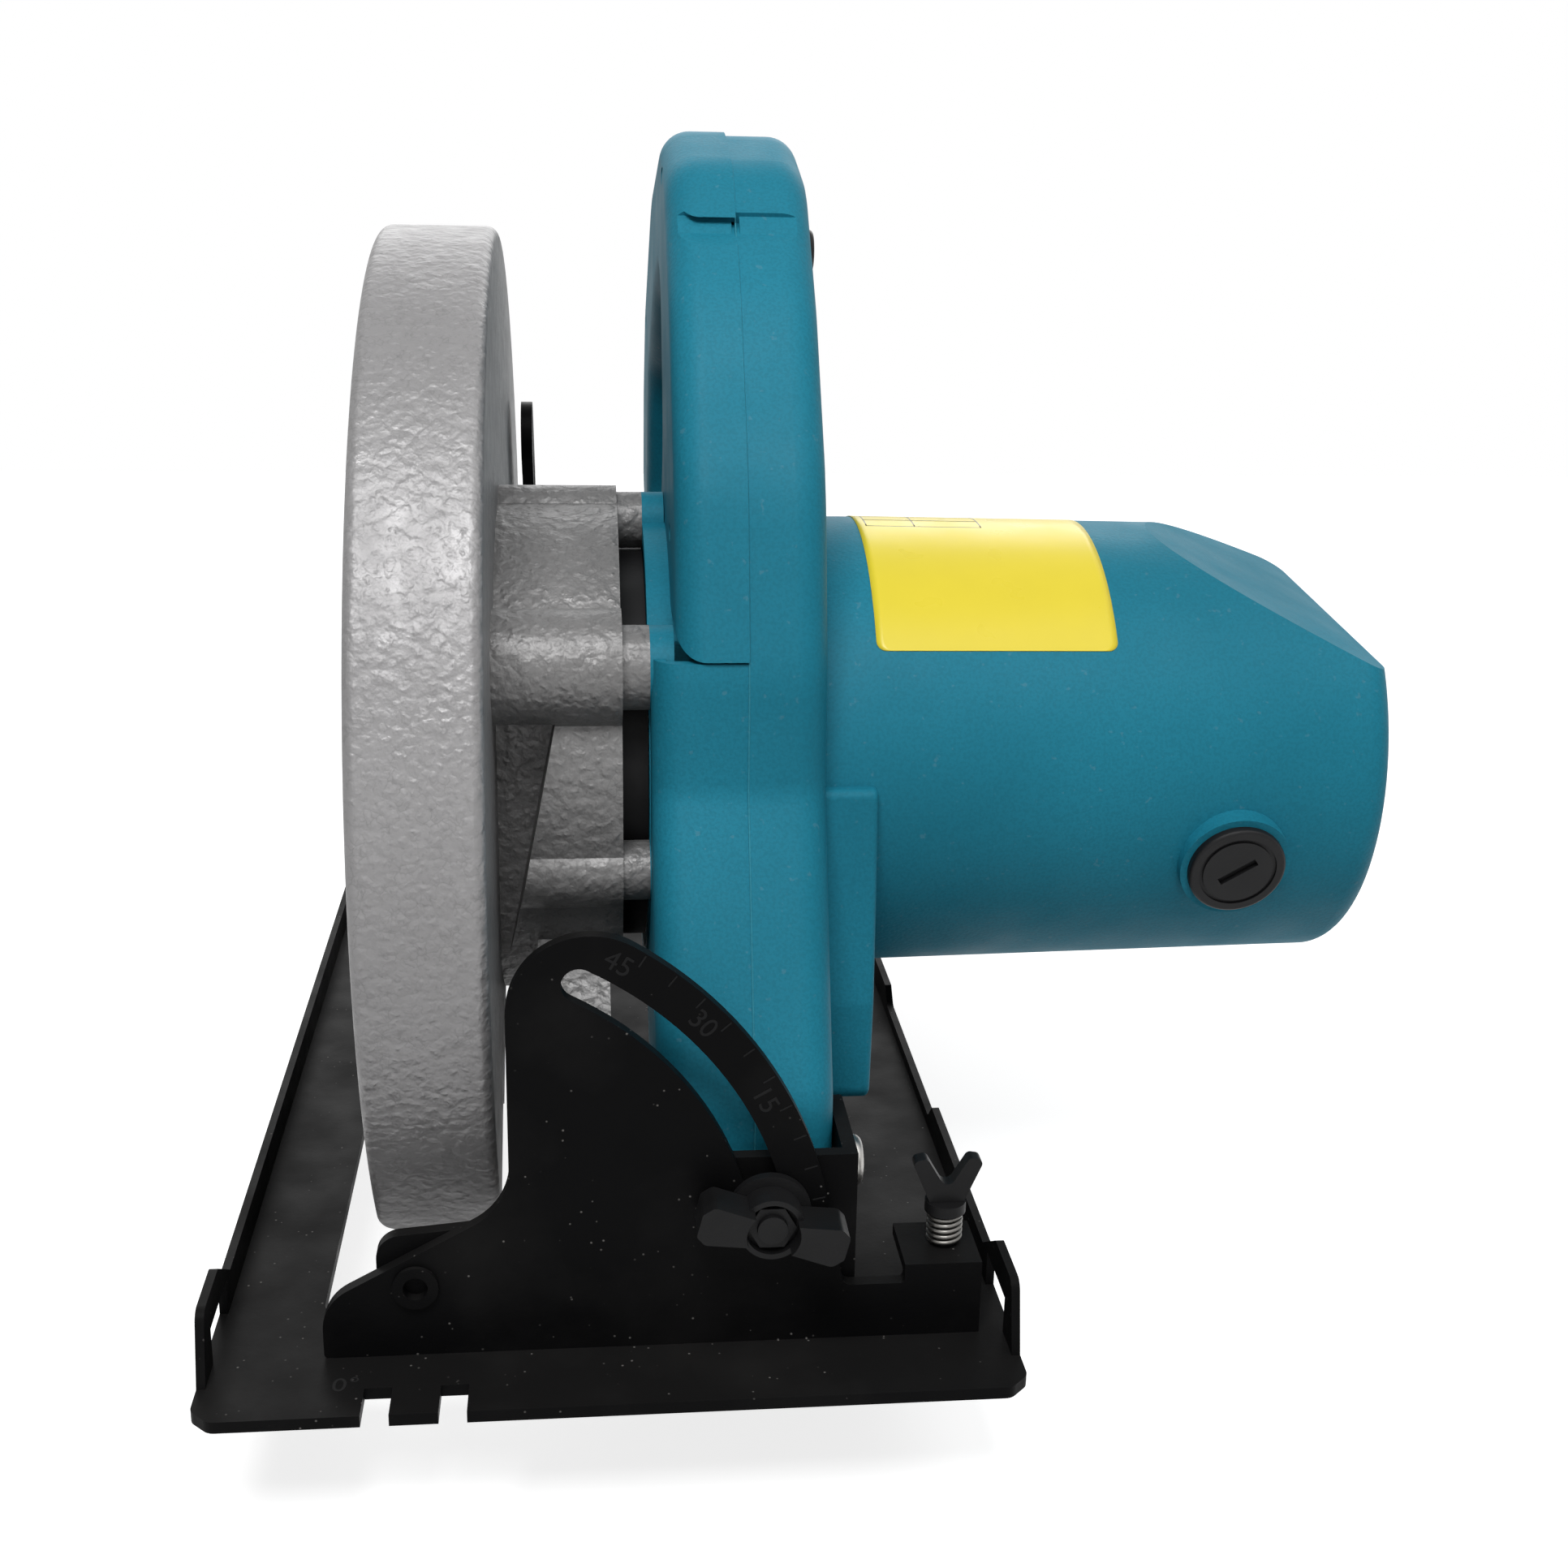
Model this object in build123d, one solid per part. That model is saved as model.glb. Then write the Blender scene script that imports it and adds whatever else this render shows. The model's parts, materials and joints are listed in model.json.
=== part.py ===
from build123d import *
import math
import os

# Right-hand circular saw with a 235 mm blade. Millimetres, +Z up, front towards -Y, motor towards +X.
# The origin is the centre of the sole's underside. Pieces are drawn at a shallow depth of cut.

# Base and its fittings
base_width = 165.0
base_sheet = 2.5
flange_sheet = 1.8
flange_height = 10.0
corner_cut = 4.0
front_overhang = 45.0
tail_length = 22.0
window_side = 19.5
window_reach = 36.0
window_front = 9.0
notch_width = 5.5
notch_depth = 9.0
fence_slot_width = 18.0
fence_slot_height = 8.0
fence_slot_behind = 28.8
fence_ear_top = 17.5
fence_ear_front = 14.0
fence_ear_back = 14.0
clamp_inset = 13.5

# Axes
pivot_z = 30.0
arbor_back = 107.0
arbor_up = 62.0
bevel_z = 18.4
bevel_offset = 0.0
blade_x = -40.0
depth_swing = 26.0
bevel_swing = 45.0

# Blade and guards
blade_radius = 117.5
blade_body = 2.0
blade_kerf = 2.8
blade_bore = 25.0
tooth_count = 24
tip_length = 6.0
lower_gap = 3.0
lower_sheet = 2.0
lower_left_reach = 6.2
lower_right_reach = 10.4
lower_front_angle = 208.0
lower_rear_angle = 27.0
lower_wall_inner = 50.0
upper_gap = 2.0
upper_wall = 3.5
upper_side_left = 1.0
upper_side_right = 2.1
upper_front_angle = 219.0
upper_rear_angle = 17.0
upper_wall_inner = 64.0
rim_round = 2.6
nose_cut = 7.0

# Depth clamp and guide
clamp_back = 78.0
clamp_up = 47.0
clamp_boss_radius = 8.0
shallow_swing = 5.0
guide_sheet = 3.0
guide_gap = 0.3
guide_band = 9.0
guide_tip = 11.0
clamp_bolt_radius = 3.0
rear_clearance = 9.5

# Bevel quadrant, brackets and pins
quadrant_setback = 20.0
quadrant_sheet = 3.0
quadrant_slot_radius = 72.5
quadrant_slot_width = 7.0
quadrant_rim = 8.6
quadrant_tip_round = 16.5
bolt_angle = 11.6
bracket_sheet = 3.0
bracket_gap = 0.4
bracket_top = 43.0
bracket_bottom = 11.0
ear_back = 13.0
bevel_pin_radius = 4.0
bevel_bolt_radius = 3.0
pivot_pin_radius = 5.0
pin_play = 0.06
slide_play = 0.3

# Spindle, flanges and gears
spindle_radius = 7.5
spindle_tail_radius = 5.0
front_bearing_radius = 17.5
front_bearing_width = 11.0
tail_bearing_radius = 13.0
tail_bearing_width = 8.0
inner_flange_width = 5.0
outer_flange_width = 5.0
flange_radius = 25.0
blade_bolt_radius = 4.0
bolt_head_flats = 13.0
bolt_head_height = 5.5
box_tube_radius = 21.0
gear_module = 1.25
gear_teeth = 40
pinion_teeth = 10
gear_width = 10.0
pressure_angle = 25.0
tooth_thinning = 0.16
mesh_angle = 160.6

# Gear housing and motor
gear_case_length = 27.0
case_partition = 10.5
drum_over = 4.5
case_belly = 26.0
front_boss_over = 4.5
front_boss_radius = 12.5
front_neck_radius = 9.0
front_boss_angle = 148.5
lug_inset = 0.5
lug_radius = 8.0
lug_neck_radius = 6.5
lug_angles = (88.0, 196.0, 20.0)
baffle_gap = 5.8
barrel_radius = 53.5
barrel_wall = 4.0
barrel_length = 166.5
barrel_draft = 1.0
flange_plate = 5.0
screw_radius = 2.5
shaft_radius = 6.0
shaft_tail_radius = 4.0
motor_bearing_radius = 16.0
motor_bearing_width = 9.0
field_depth = 23.0
core_start = 44.0
core_gap = 22.0
field_inset = 1.5
air_gap = 0.6
commutator_radius = 17.0
commutator_length = 20.0
fan_radius = 40.0
fan_width = 14.0
fan_blades = 11
brush_back = 35.5
brush_tilt = 16.5
brush_width = 7.0
brush_depth = 11.0
cap_radius = 11.0
cap_height = 7.0

# Handle
handle_gap = 0.2
seat_gap = 0.05
cover_proud = 0.8
seam_gap = 0.5
seam_up = 107.0
seam_round = 6.0
handle_left_half = 15.0
handle_right_half = 17.0
handle_wall = 3.0
handle_round = 7.0
groove_width = 2.6
groove_depth = 0.9
trigger_width = 14.0
trigger_travel = 6.0
button_radius = 5.0
button_stand = 2.6

# Derived places
lower_radius = blade_radius + lower_gap + lower_sheet
upper_radius = lower_radius + upper_gap + upper_wall
lower_left = blade_x - lower_left_reach
lower_right = blade_x + lower_right_reach
guard_left = lower_left - upper_side_left - upper_wall
guard_right = lower_right + upper_side_right + upper_wall
gear_end = guard_right + gear_case_length
flange_x = gear_end + baffle_gap
handle_left_x = flange_x + flange_plate + handle_gap
parting_x = handle_left_x + handle_left_half
handle_right_x = parting_x + handle_right_half
barrel_end = flange_x + barrel_length
drum_radius = barrel_radius + drum_over
front_boss_circle = barrel_radius + front_boss_over
lug_circle = barrel_radius - lug_inset
field_radius = barrel_radius - barrel_wall - field_inset
core_radius = field_radius - field_depth
rear_bracket_reach = math.hypot(arbor_back, arbor_up) + upper_radius + rear_clearance
base_length = front_overhang + rear_bracket_reach + 2 * bracket_sheet + bracket_gap + tail_length
front_y = -base_length / 2
rear_y = base_length / 2
pivot_y = front_y + front_overhang
arbor = (pivot_y + arbor_back, pivot_z + arbor_up)
gear_pitch = gear_module * gear_teeth / 2
pinion_pitch = gear_module * pinion_teeth / 2
axis_distance = gear_pitch + pinion_pitch
bevel_x = blade_x + bevel_offset
rear_bracket_y = pivot_y + rear_bracket_reach
rear_stand_y = rear_bracket_y + bracket_sheet + bracket_gap
guide_x0 = guard_right + guide_sheet
guide_x1 = guide_x0 + guide_sheet
quadrant_y = front_y + quadrant_setback
bracket_y = quadrant_y + quadrant_sheet + bracket_gap
clamp_x = base_width / 2 - clamp_inset
fence_y = front_y + fence_slot_behind


# Sizes of the smaller features, piece by piece
depth_clamp = (arbor[0] + clamp_back, arbor[1] + clamp_up)
guide_radius = math.dist((pivot_y, pivot_z), depth_clamp)
guide_rest_angle = math.degrees(math.atan2(depth_clamp[1] - pivot_z, depth_clamp[0] - pivot_y))
bevel_bolt_x = bevel_x + quadrant_slot_radius * math.cos(math.radians(bolt_angle))
bevel_bolt_z = bevel_z + quadrant_slot_radius * math.sin(math.radians(bolt_angle))
relief_reach = 40.0
relief_rise = 3.0
stand_rivet_radius = 2.5
stand_rivet_y = rear_stand_y + bracket_sheet + tail_length / 2
stand_half_width = 16.0
stand_top = 32.0
quadrant_left = 18.8
wall_top = 14.8
shelf_reach_left = 9.5
shelf_reach_right = 6.6
tab_width = 14.0
shelf_z = 16.5
shelf_sheet = 2.5
fence_screw_radius = 2.4
# Wound clamp spring
spring_wire = 1.0
spring_mean_radius = 3.3
spring_turns = 5
spring_length = 7.4
spring_seat_gap = 0.1
wing_hub_length = 8.0
wing_span = 30.0
wing_hub_radius = 6.5
hub_recess_radius = 5.4
hub_recess = 2.4
wing_turn = -14.0
guide_rivet_radius = 2.0
guide_rivet_z = bevel_z - 3.5
guide_foot_length = 26.0
guide_foot_y0 = rear_bracket_y - guide_foot_length
# Rip-fence clamp screw
screw_tip_z = base_sheet + fence_slot_height - 0.8
prong_height = 12.0
guard_screw_radius = 2.5
guard_screw_circle = 50.0
guard_screw_angles = (60.0, 128.0, 205.0)
lever_circle = 56.0
lever_angle = 15.0
lever_rivet_radius = 1.6
lever_spread = 9.0
lever_sheet = 2.5
lever_reach = 16.0
# Bearing box, its ring and the return spring
tube_end = lower_right - lower_sheet - 1.6
box_flange_radius = 28.0
box_flange_width = 3.0
ring_width = 1.0
ring_inner = box_tube_radius - 1.0
front_bearing_start = tube_end + 1.5
front_bearing_end = front_bearing_start + front_bearing_width
box_screw_radius = 1.6
box_screw_circle = 24.6
box_screw_angles = (10.0, 130.0, 250.0)
guard_screw_bite = 9.0
# Running gear
blade_left = blade_x - blade_body / 2
blade_right = blade_x + blade_body / 2
flange_shoulder = blade_right + inner_flange_width
gear_start = front_bearing_end + 2.0
bolt_bite = 16.0
gullet_root = blade_radius - 13.0
slot_root = blade_radius - 30.0
slot_count = 4
tip_width = 2.4
tip_seat = 0.06
tooth_hook = -0.6
arm_from = 212.0
arm_to = 260.0
pocket_width = 13.0
pocket_drop = 54.0
pocket_depth = 16.0
end_wall = 5.0
vent_count = 9
core_x0 = flange_x + core_start
commutator_x0 = barrel_end - brush_back - commutator_length / 2
core_x1 = commutator_x0 - core_gap
brush_x = barrel_end - brush_back
facet_angle = 97.0
facet_slope = 24.0
facet_length = 50.0
pole_angles = (90.0 + brush_tilt, 270.0 + brush_tilt)
pole_half = 20.0
yoke_width = 9.0
horn_width = 4.0
coil_gap = 0.3
coil_inner = core_radius + air_gap + horn_width + coil_gap
coil_outer = field_radius - yoke_width - coil_gap
coil_overhang = 8.0
armature_slots = 16
# Brush gear
holder_radius = 8.5
holder_start = commutator_radius + 4.0
cap_seat = barrel_radius + 1.5
brush_top = 34.0
handle_radii = [13, 12, 20, 40, 16, 12, 16, 24, 60, 24, 24, 50, 50, 40, 12, 14]
opening_points = [
    (88.0, 138.0),
    (132.0, 118.0),
    (176.0, 92.0),
    (192.0, 110.0),
    (180.0, 146.0),
    (140.0, 170.0),
    (104.0, 180.0),
]
opening_radii = [14, 60, 12, 14, 24, 40, 16]
handle_screw_radius = 2.0
handle_screw_points = ((3.0, 36.0), (48.0, 128.0), (92.0, 202.0), (198.0, 162.0), (206.0, 108.0))
trigger_length = 40.0
trigger_top = 9.0
switch_height = 9.0
trigger_point = (108.0, 176.0)
grip_slope = -16.0
button_point = (88.0, 186.0)
gland_point = (227.0, 126.0)
gland_radius = 6.0
gland_slope = 8.0
clamp_tail = 9.0
lever_length = 44.0
lever_rest = 248.0


def polar(centre, radius, degrees):
    """Point in the YZ plane at an angle from +Y towards +Z."""
    turn = math.radians(degrees)
    return (centre[0] + radius * math.cos(turn), centre[1] + radius * math.sin(turn))


motor = polar(arbor, axis_distance, mesh_angle)
barrel_front = motor[0] - barrel_radius - pivot_y
# Handle outline, given from the depth pivot at the drawn pose
handle_points = [
    (-14.0, -14.0),
    (14.0, -14.0),
    (60.0, 18.0),
    (124.0, 46.0),
    (206.0, 92.0),
    (230.0, 112.0),
    (226.0, 142.0),
    (210.0, 168.0),
    (160.0, 200.0),
    (104.0, 212.0),
    (76.0, 204.0),
    (50.0, 178.0),
    (barrel_front + 1.0, 143.0),
    (barrel_front - 10.0, 104.0),
    (barrel_front - 11.5, 79.0),
    (barrel_front - 37.0, 20.0),
]


# Shape helpers
def plane_x(x):
    """Drawing plane at one X, with local axes Y and Z, that extrudes towards +X."""
    return Plane(origin=(x, 0, 0), x_dir=(0, 1, 0), z_dir=(1, 0, 0))


def plane_y(y):
    """Drawing plane at one Y, with local axes X and Z, that extrudes towards -Y."""
    return Plane(origin=(0, y, 0), x_dir=(1, 0, 0), z_dir=(0, -1, 0))


def rod_x(radius, x0, x1, centre, bore=0.0):
    """Cylinder or tube along X around a point of the YZ plane."""
    disc = Pos(*centre) * Circle(radius)
    if bore:
        disc -= Pos(*centre) * Circle(bore)
    return extrude(plane_x(x0) * disc, amount=x1 - x0)


def rod_y(radius, y0, y1, centre, bore=0.0):
    """Cylinder or tube along Y around a point of the XZ plane."""
    disc = Pos(*centre) * Circle(radius)
    if bore:
        disc -= Pos(*centre) * Circle(bore)
    return extrude(plane_y(y1) * disc, amount=y1 - y0)


def rod_z(radius, z0, z1, centre, bore=0.0):
    """Cylinder or tube along Z."""
    disc = Pos(*centre) * Circle(radius)
    if bore:
        disc -= Pos(*centre) * Circle(bore)
    return extrude(Plane.XY.offset(z0) * disc, amount=z1 - z0)


def block(x0, x1, y0, y1, z0, z1):
    """Box between two corners."""
    return Pos((x0 + x1) / 2, (y0 + y1) / 2, (z0 + z1) / 2) * Box(x1 - x0, y1 - y0, z1 - z0)


def outline(points, radii):
    """Closed face through points, with one corner radius for each point."""
    return make_face(FilletPolyline(*points, radius=radii, close=True))


def plate_x(face, x0, x1):
    return extrude(plane_x(x0) * face, amount=x1 - x0)


def plate_y(face, y0, y1):
    return extrude(plane_y(y1) * face, amount=y1 - y0)


def turned(points, radii, centre, start, stop):
    """Profile of X against radius, turned about X from one angle to another."""
    turn = math.radians(start)
    plane = Plane(
        origin=(0, *centre), x_dir=(1, 0, 0), z_dir=(0, -math.sin(turn), math.cos(turn))
    )
    face = plane * outline(points, radii)
    return revolve(face, axis=Axis((0, *centre), (1, 0, 0)), revolution_arc=stop - start)


def arc_slot(centre, radius, start, stop, width):
    """Face of a curved slot with round ends."""
    a = polar(centre, radius, start)
    c = polar(centre, radius, stop)
    half = width / 2
    band = make_face(
        Curve()
        + ThreePointArc(
            polar(centre, radius + half, start),
            polar(centre, radius + half, (start + stop) / 2),
            polar(centre, radius + half, stop),
        )
        + Line(polar(centre, radius + half, stop), polar(centre, radius - half, stop))
        + ThreePointArc(
            polar(centre, radius - half, stop),
            polar(centre, radius - half, (start + stop) / 2),
            polar(centre, radius - half, start),
        )
        + Line(polar(centre, radius - half, start), polar(centre, radius + half, start))
    )
    return band + Pos(*a) * Circle(half) + Pos(*c) * Circle(half)


def inset(points, distance):
    """Counter-clockwise polygon with every side moved inwards by a distance."""
    lines = []
    for (ax, ay), (bx, by) in zip(points, points[1:] + points[:1]):
        length = math.hypot(bx - ax, by - ay)
        nx = -(by - ay) / length
        ny = (bx - ax) / length
        lines.append((nx, ny, nx * ax + ny * ay + distance))
    moved = []
    for (a, b, c), (d, e, f) in zip(lines[-1:] + lines[:-1], lines):
        det = a * e - b * d
        moved.append(((c * e - b * f) / det, (a * f - c * d) / det))
    return moved


# Base pieces
def base_plate():
    half = base_width / 2
    corners = [
        (-half, rear_y),
        (-half, front_y + corner_cut),
        (-half + corner_cut, front_y),
        (half - corner_cut, front_y),
        (half, front_y + corner_cut),
        (half, rear_y),
    ]
    sheet = outline(corners, [corner_cut, 3, 3, 3, 3, corner_cut])
    window_left = bevel_x - window_side - 1.5
    window_right = bevel_x + window_reach
    window_back = rear_bracket_y - window_front
    window_start = pivot_y - window_front
    window = outline(
        [
            (window_left, window_start),
            (window_right, window_start),
            (window_right, window_back),
            (window_left, window_back),
        ],
        [4, 4, 4, 4],
    )
    sheet -= window
    for notch_x in (bevel_x - 7.0, bevel_x + 8.0):
        sheet -= Pos(notch_x, front_y + notch_depth / 2) * Rectangle(notch_width, notch_depth)
    plate = extrude(sheet, amount=base_sheet)
    ear = outline(
        [
            (fence_y - fence_ear_front - 4.5, 0.0),
            (fence_y - fence_ear_front, fence_ear_top),
            (fence_y + 2.0, fence_ear_top),
            (fence_y + fence_ear_back, flange_height),
            (fence_y + fence_ear_back, 0.0),
        ],
        [0, 3, 2, 0, 0],
    )
    for side in (-1, 1):
        wall = block(
            min(side * half, side * (half - flange_sheet)),
            max(side * half, side * (half - flange_sheet)),
            fence_y,
            rear_y - corner_cut,
            0,
            flange_height,
        )
        plate += wall
        plate += plate_x(
            ear,
            min(side * half, side * (half - flange_sheet)),
            max(side * half, side * (half - flange_sheet)),
        )
        slot = block(
            min(side * half, side * (half - flange_sheet)) - 1,
            max(side * half, side * (half - flange_sheet)) + 1,
            fence_y - fence_slot_width / 2,
            fence_y + fence_slot_width / 2,
            base_sheet,
            base_sheet + fence_slot_height,
        )
        plate -= slot
    plate -= flange_relief()
    for x0, x1 in quadrant_tabs():
        plate -= block(
            x0 - pin_play,
            x1 + pin_play,
            quadrant_y - pin_play,
            quadrant_y + quadrant_sheet + pin_play,
            -1,
            base_sheet + 1,
        )
    for x in stand_rivet_x():
        plate -= rod_z(stand_rivet_radius, -1, base_sheet + 1, (x, stand_rivet_y))
    return plate


def swung(point):
    """Place of a body point in the YZ plane at the full depth of cut."""
    turn = math.radians(depth_swing)
    y = point[0] - pivot_y
    z = point[1] - pivot_z
    return (
        pivot_y + y * math.cos(turn) + z * math.sin(turn),
        pivot_z - y * math.sin(turn) + z * math.cos(turn),
    )


def flange_relief():
    """Dip in the right flange that lets the barrel down at the full depth of cut."""
    middle = swung(motor)[0]
    face = outline(
        [
            (middle - relief_reach + 6.0, base_sheet + relief_rise),
            (middle + relief_reach - 6.0, base_sheet + relief_rise),
            (middle + relief_reach, flange_height + 1.0),
            (middle - relief_reach, flange_height + 1.0),
        ],
        [3, 3, 0, 0],
    )
    return plate_x(face, base_width / 2 - flange_sheet - 1, base_width / 2 + 1)


def stand_rivet_x():
    return (bevel_x - 10.0, bevel_x + 10.0)


def quadrant_tabs():
    """X spans of the tabs that pass through the base."""
    starts = (bevel_x - 17.0, bevel_x + 40.0, clamp_x - 8.0)
    return [(x, x + tab_width) for x in starts]


def bevel_quadrant():
    outer = quadrant_slot_radius + quadrant_slot_width / 2 + quadrant_rim
    top = polar((bevel_x, bevel_z), outer, 77.0)
    side = polar((bevel_x, bevel_z), outer, 8.0)
    mid = polar((bevel_x, bevel_z), outer, 41.0)
    shelf_left = clamp_x - shelf_reach_left
    shelf_right = clamp_x + shelf_reach_right
    left = bevel_x - quadrant_left
    edge = FilletPolyline(
        (side[0], side[1]),
        (side[0] + 3.0, wall_top),
        (shelf_left, wall_top),
        (shelf_left, shelf_z + shelf_sheet),
        (shelf_right, shelf_z + shelf_sheet),
        (shelf_right, base_sheet),
        (left, base_sheet),
        (left, bevel_z - 3.5),
        (top[0], bevel_z + 17.0),
        (top[0], top[1]),
        radius=[2, 1, 1, 3, 0, 1, 10, 14],
    )
    face = make_face(edge + ThreePointArc(top, mid, side))
    face = fillet(face.vertices().sort_by(Axis.Y)[-1], quadrant_tip_round)
    face -= arc_slot(
        (bevel_x, bevel_z),
        quadrant_slot_radius,
        bolt_angle - 1.5,
        bolt_angle + bevel_swing + 6.0,
        quadrant_slot_width
    )
    face -= Pos(bevel_x, bevel_z) * Circle(bevel_pin_radius + pin_play)
    plate = plate_y(face, quadrant_y, quadrant_y + quadrant_sheet)
    shelf = block(
        shelf_left, shelf_right, quadrant_y, fence_y + 8.0, shelf_z, shelf_z + shelf_sheet
    )
    shelf -= rod_z(
        fence_screw_radius + slide_play, shelf_z - 1, shelf_z + shelf_sheet + 1, (clamp_x, fence_y)
    )
    plate += shelf
    for x0, x1 in quadrant_tabs():
        plate += block(x0, x1, quadrant_y, quadrant_y + quadrant_sheet, 0, base_sheet)
    return plate


def rear_stand():
    face = outline(
        [
            (bevel_x - stand_half_width, base_sheet),
            (bevel_x + stand_half_width, base_sheet),
            (bevel_x + stand_half_width, bevel_z),
            (bevel_x + 9.0, stand_top),
            (bevel_x - 9.0, stand_top),
            (bevel_x - stand_half_width, bevel_z),
        ],
        [0, 0, 6, 6, 6, 6],
    )
    face -= Pos(bevel_x, bevel_z) * Circle(bevel_pin_radius + pin_play)
    stand = plate_y(face, rear_stand_y, rear_stand_y + bracket_sheet)
    foot = block(
        bevel_x - stand_half_width,
        bevel_x + stand_half_width,
        rear_stand_y,
        rear_y - 2.0,
        base_sheet,
        base_sheet + bracket_sheet,
    )
    for x in stand_rivet_x():
        foot -= rod_z(stand_rivet_radius, 0, base_sheet + bracket_sheet + 1, (x, stand_rivet_y))
    return stand + foot


def stand_rivets():
    heads = []
    for x in stand_rivet_x():
        shank = rod_z(stand_rivet_radius, 0, base_sheet + bracket_sheet, (x, stand_rivet_y))
        head = Pos(x, stand_rivet_y, base_sheet + bracket_sheet) * Cylinder(
            stand_rivet_radius * 1.8, 1.6, align=(Align.CENTER, Align.CENTER, Align.MIN)
        )
        rim = head.edges().sort_by(Axis.Z)[-1]
        heads.append(shank + fillet(rim, 1.2))
    return heads


def helix_point(turns):
    turn = 2 * math.pi * turns
    rise = (spring_length - spring_wire) * turns / spring_turns
    base = shelf_z + shelf_sheet + spring_wire / 2 + spring_seat_gap
    return Vector(
        clamp_x + spring_mean_radius * math.cos(turn),
        fence_y + spring_mean_radius * math.sin(turn),
        base + rise,
    )


def helix_tangent(turns):
    turn = 2 * math.pi * turns
    rise = (spring_length - spring_wire) / spring_turns
    around = 2 * math.pi * spring_mean_radius
    return Vector(-around * math.sin(turn), around * math.cos(turn), rise).normalized()


def fence_clamp_spring():
    path = []
    steps = spring_turns * 4
    for step in range(steps):
        p0 = helix_point(step / 4)
        p1 = helix_point((step + 1) / 4)
        t0 = helix_tangent(step / 4)
        t1 = helix_tangent((step + 1) / 4)
        chord = p1 - p0
        both = t0 + t1
        spread = 2 * (1 - t0.dot(t1))
        lean = chord.dot(both)
        reach = (math.sqrt(lean * lean + spread * chord.dot(chord)) - lean) / spread
        q0 = p0 + t0 * reach
        q1 = p1 - t1 * reach
        middle = (q0 + q1) * 0.5
        path.append(TangentArc(p0, middle, tangent=t0))
        path.append(TangentArc(middle, p1, tangent=(q1 - q0).normalized()))
    wire = Wire(path)
    section = Plane(origin=helix_point(0), z_dir=helix_tangent(0)) * Circle(spring_wire / 2)
    return sweep(section, path=wire)


def spring_self_gap():
    """Least gap between the wire and itself, at least half a turn apart along it."""
    count = spring_turns * 48
    spots = [helix_point(step / 48) for step in range(count + 1)]
    least = min(
        (spots[i] - spots[j]).length for i in range(len(spots)) for j in range(i + 24, len(spots))
    )
    return least - spring_wire


# Bevel frame pieces
def front_tilt_bracket():
    left = bevel_x - 8.0
    right = handle_right_x + 0.5 + bracket_sheet
    inner_left = guard_right + 5.0
    face = outline(
        [
            (left, bracket_bottom),
            (right, bracket_bottom),
            (right, bracket_top),
            (inner_left, bracket_top),
            (inner_left - 6.0, bevel_z + 11.0),
            (left, bevel_z + 9.0),
        ],
        [4, 2, 3, 4, 6, 5],
    )
    wall = plate_y(face, bracket_y, bracket_y + bracket_sheet)
    ear_face = outline(
        [
            (bracket_y, pivot_z - 12.0),
            (pivot_y + ear_back, pivot_z - 12.0),
            (pivot_y + ear_back, bracket_top),
            (bracket_y, bracket_top),
        ],
        [0, 8, 10, 0],
    )
    wall += plate_x(ear_face, inner_left, inner_left + bracket_sheet)
    wall += plate_x(ear_face, right - bracket_sheet, right)
    wall -= rod_x(pivot_pin_radius, inner_left - 1, right + 1, (pivot_y, pivot_z))
    wall -= rod_y(bevel_pin_radius, bracket_y - 1, bracket_y + bracket_sheet + 1, (bevel_x, bevel_z))
    wall -= rod_y(
        bevel_bolt_radius, bracket_y - 1, bracket_y + bracket_sheet + 1, (bevel_bolt_x, bevel_bolt_z)
    )
    return wall


def front_bevel_pin():
    """Rivet with a flat round head in front of the quadrant and a formed tail behind the bracket."""
    centre = (bevel_x, bevel_z)
    tail = bracket_y + bracket_sheet
    pin = rod_y(bevel_pin_radius, quadrant_y - slide_play, tail, centre)
    pin += rod_y(bevel_pin_radius * 1.15, quadrant_y - slide_play - 1.0, quadrant_y - slide_play, centre)
    pin += rod_y(bevel_pin_radius * 1.6, tail, tail + 2.2, centre)
    return pin - rod_y(bevel_pin_radius * 0.62, quadrant_y - 5.0, quadrant_y + 1.0, centre)


def bevel_bolt():
    """Square-necked bolt through the bracket and the quadrant's slot."""
    centre = (bevel_bolt_x, bevel_bolt_z)
    tail = bracket_y + bracket_sheet
    bolt = rod_y(bevel_bolt_radius, quadrant_y - wing_hub_length - 0.6, tail, centre)
    return bolt + rod_y(bevel_bolt_radius * 2.0, tail, tail + 2.8, centre)


def bevel_wing_nut():
    """Wing nut with a flanged foot, a hub and two swept lobes."""
    centre = (bevel_bolt_x, bevel_bolt_z)
    back = quadrant_y - slide_play
    front = back - wing_hub_length
    hub = rod_y(wing_hub_radius, front, back, centre)
    hub += rod_y(wing_hub_radius + 2.0, back - 2.0, back, centre)
    for side in (-1, 1):
        lobe = outline(
            [
                (0.0, -2.6),
                (wing_span / 2 - 2.0, -4.0),
                (wing_span / 2, -2.0),
                (wing_span / 2, 3.0),
                (wing_span / 2 - 2.0, 4.4),
                (0.0, 2.6),
            ],
            [0, 1.6, 1.0, 1.0, 1.6, 0],
        )
        turn = Rot(0, 0, wing_turn) if side > 0 else Rot(0, 0, wing_turn + 180.0)
        hub += plate_y(Pos(*centre) * turn * lobe, front - 3.0, back - 2.2)
    hub -= rod_y(hub_recess_radius, front - 8.0, front + hub_recess, centre)
    hexagon = Pos(*centre) * RegularPolygon(hub_recess_radius - 0.5, 6)
    hub += plate_y(hexagon, front + hub_recess - 1.6, front + hub_recess)
    hub -= rod_y(bevel_bolt_radius + pin_play, front - 8.0, back + 1, centre)
    return hub


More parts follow.
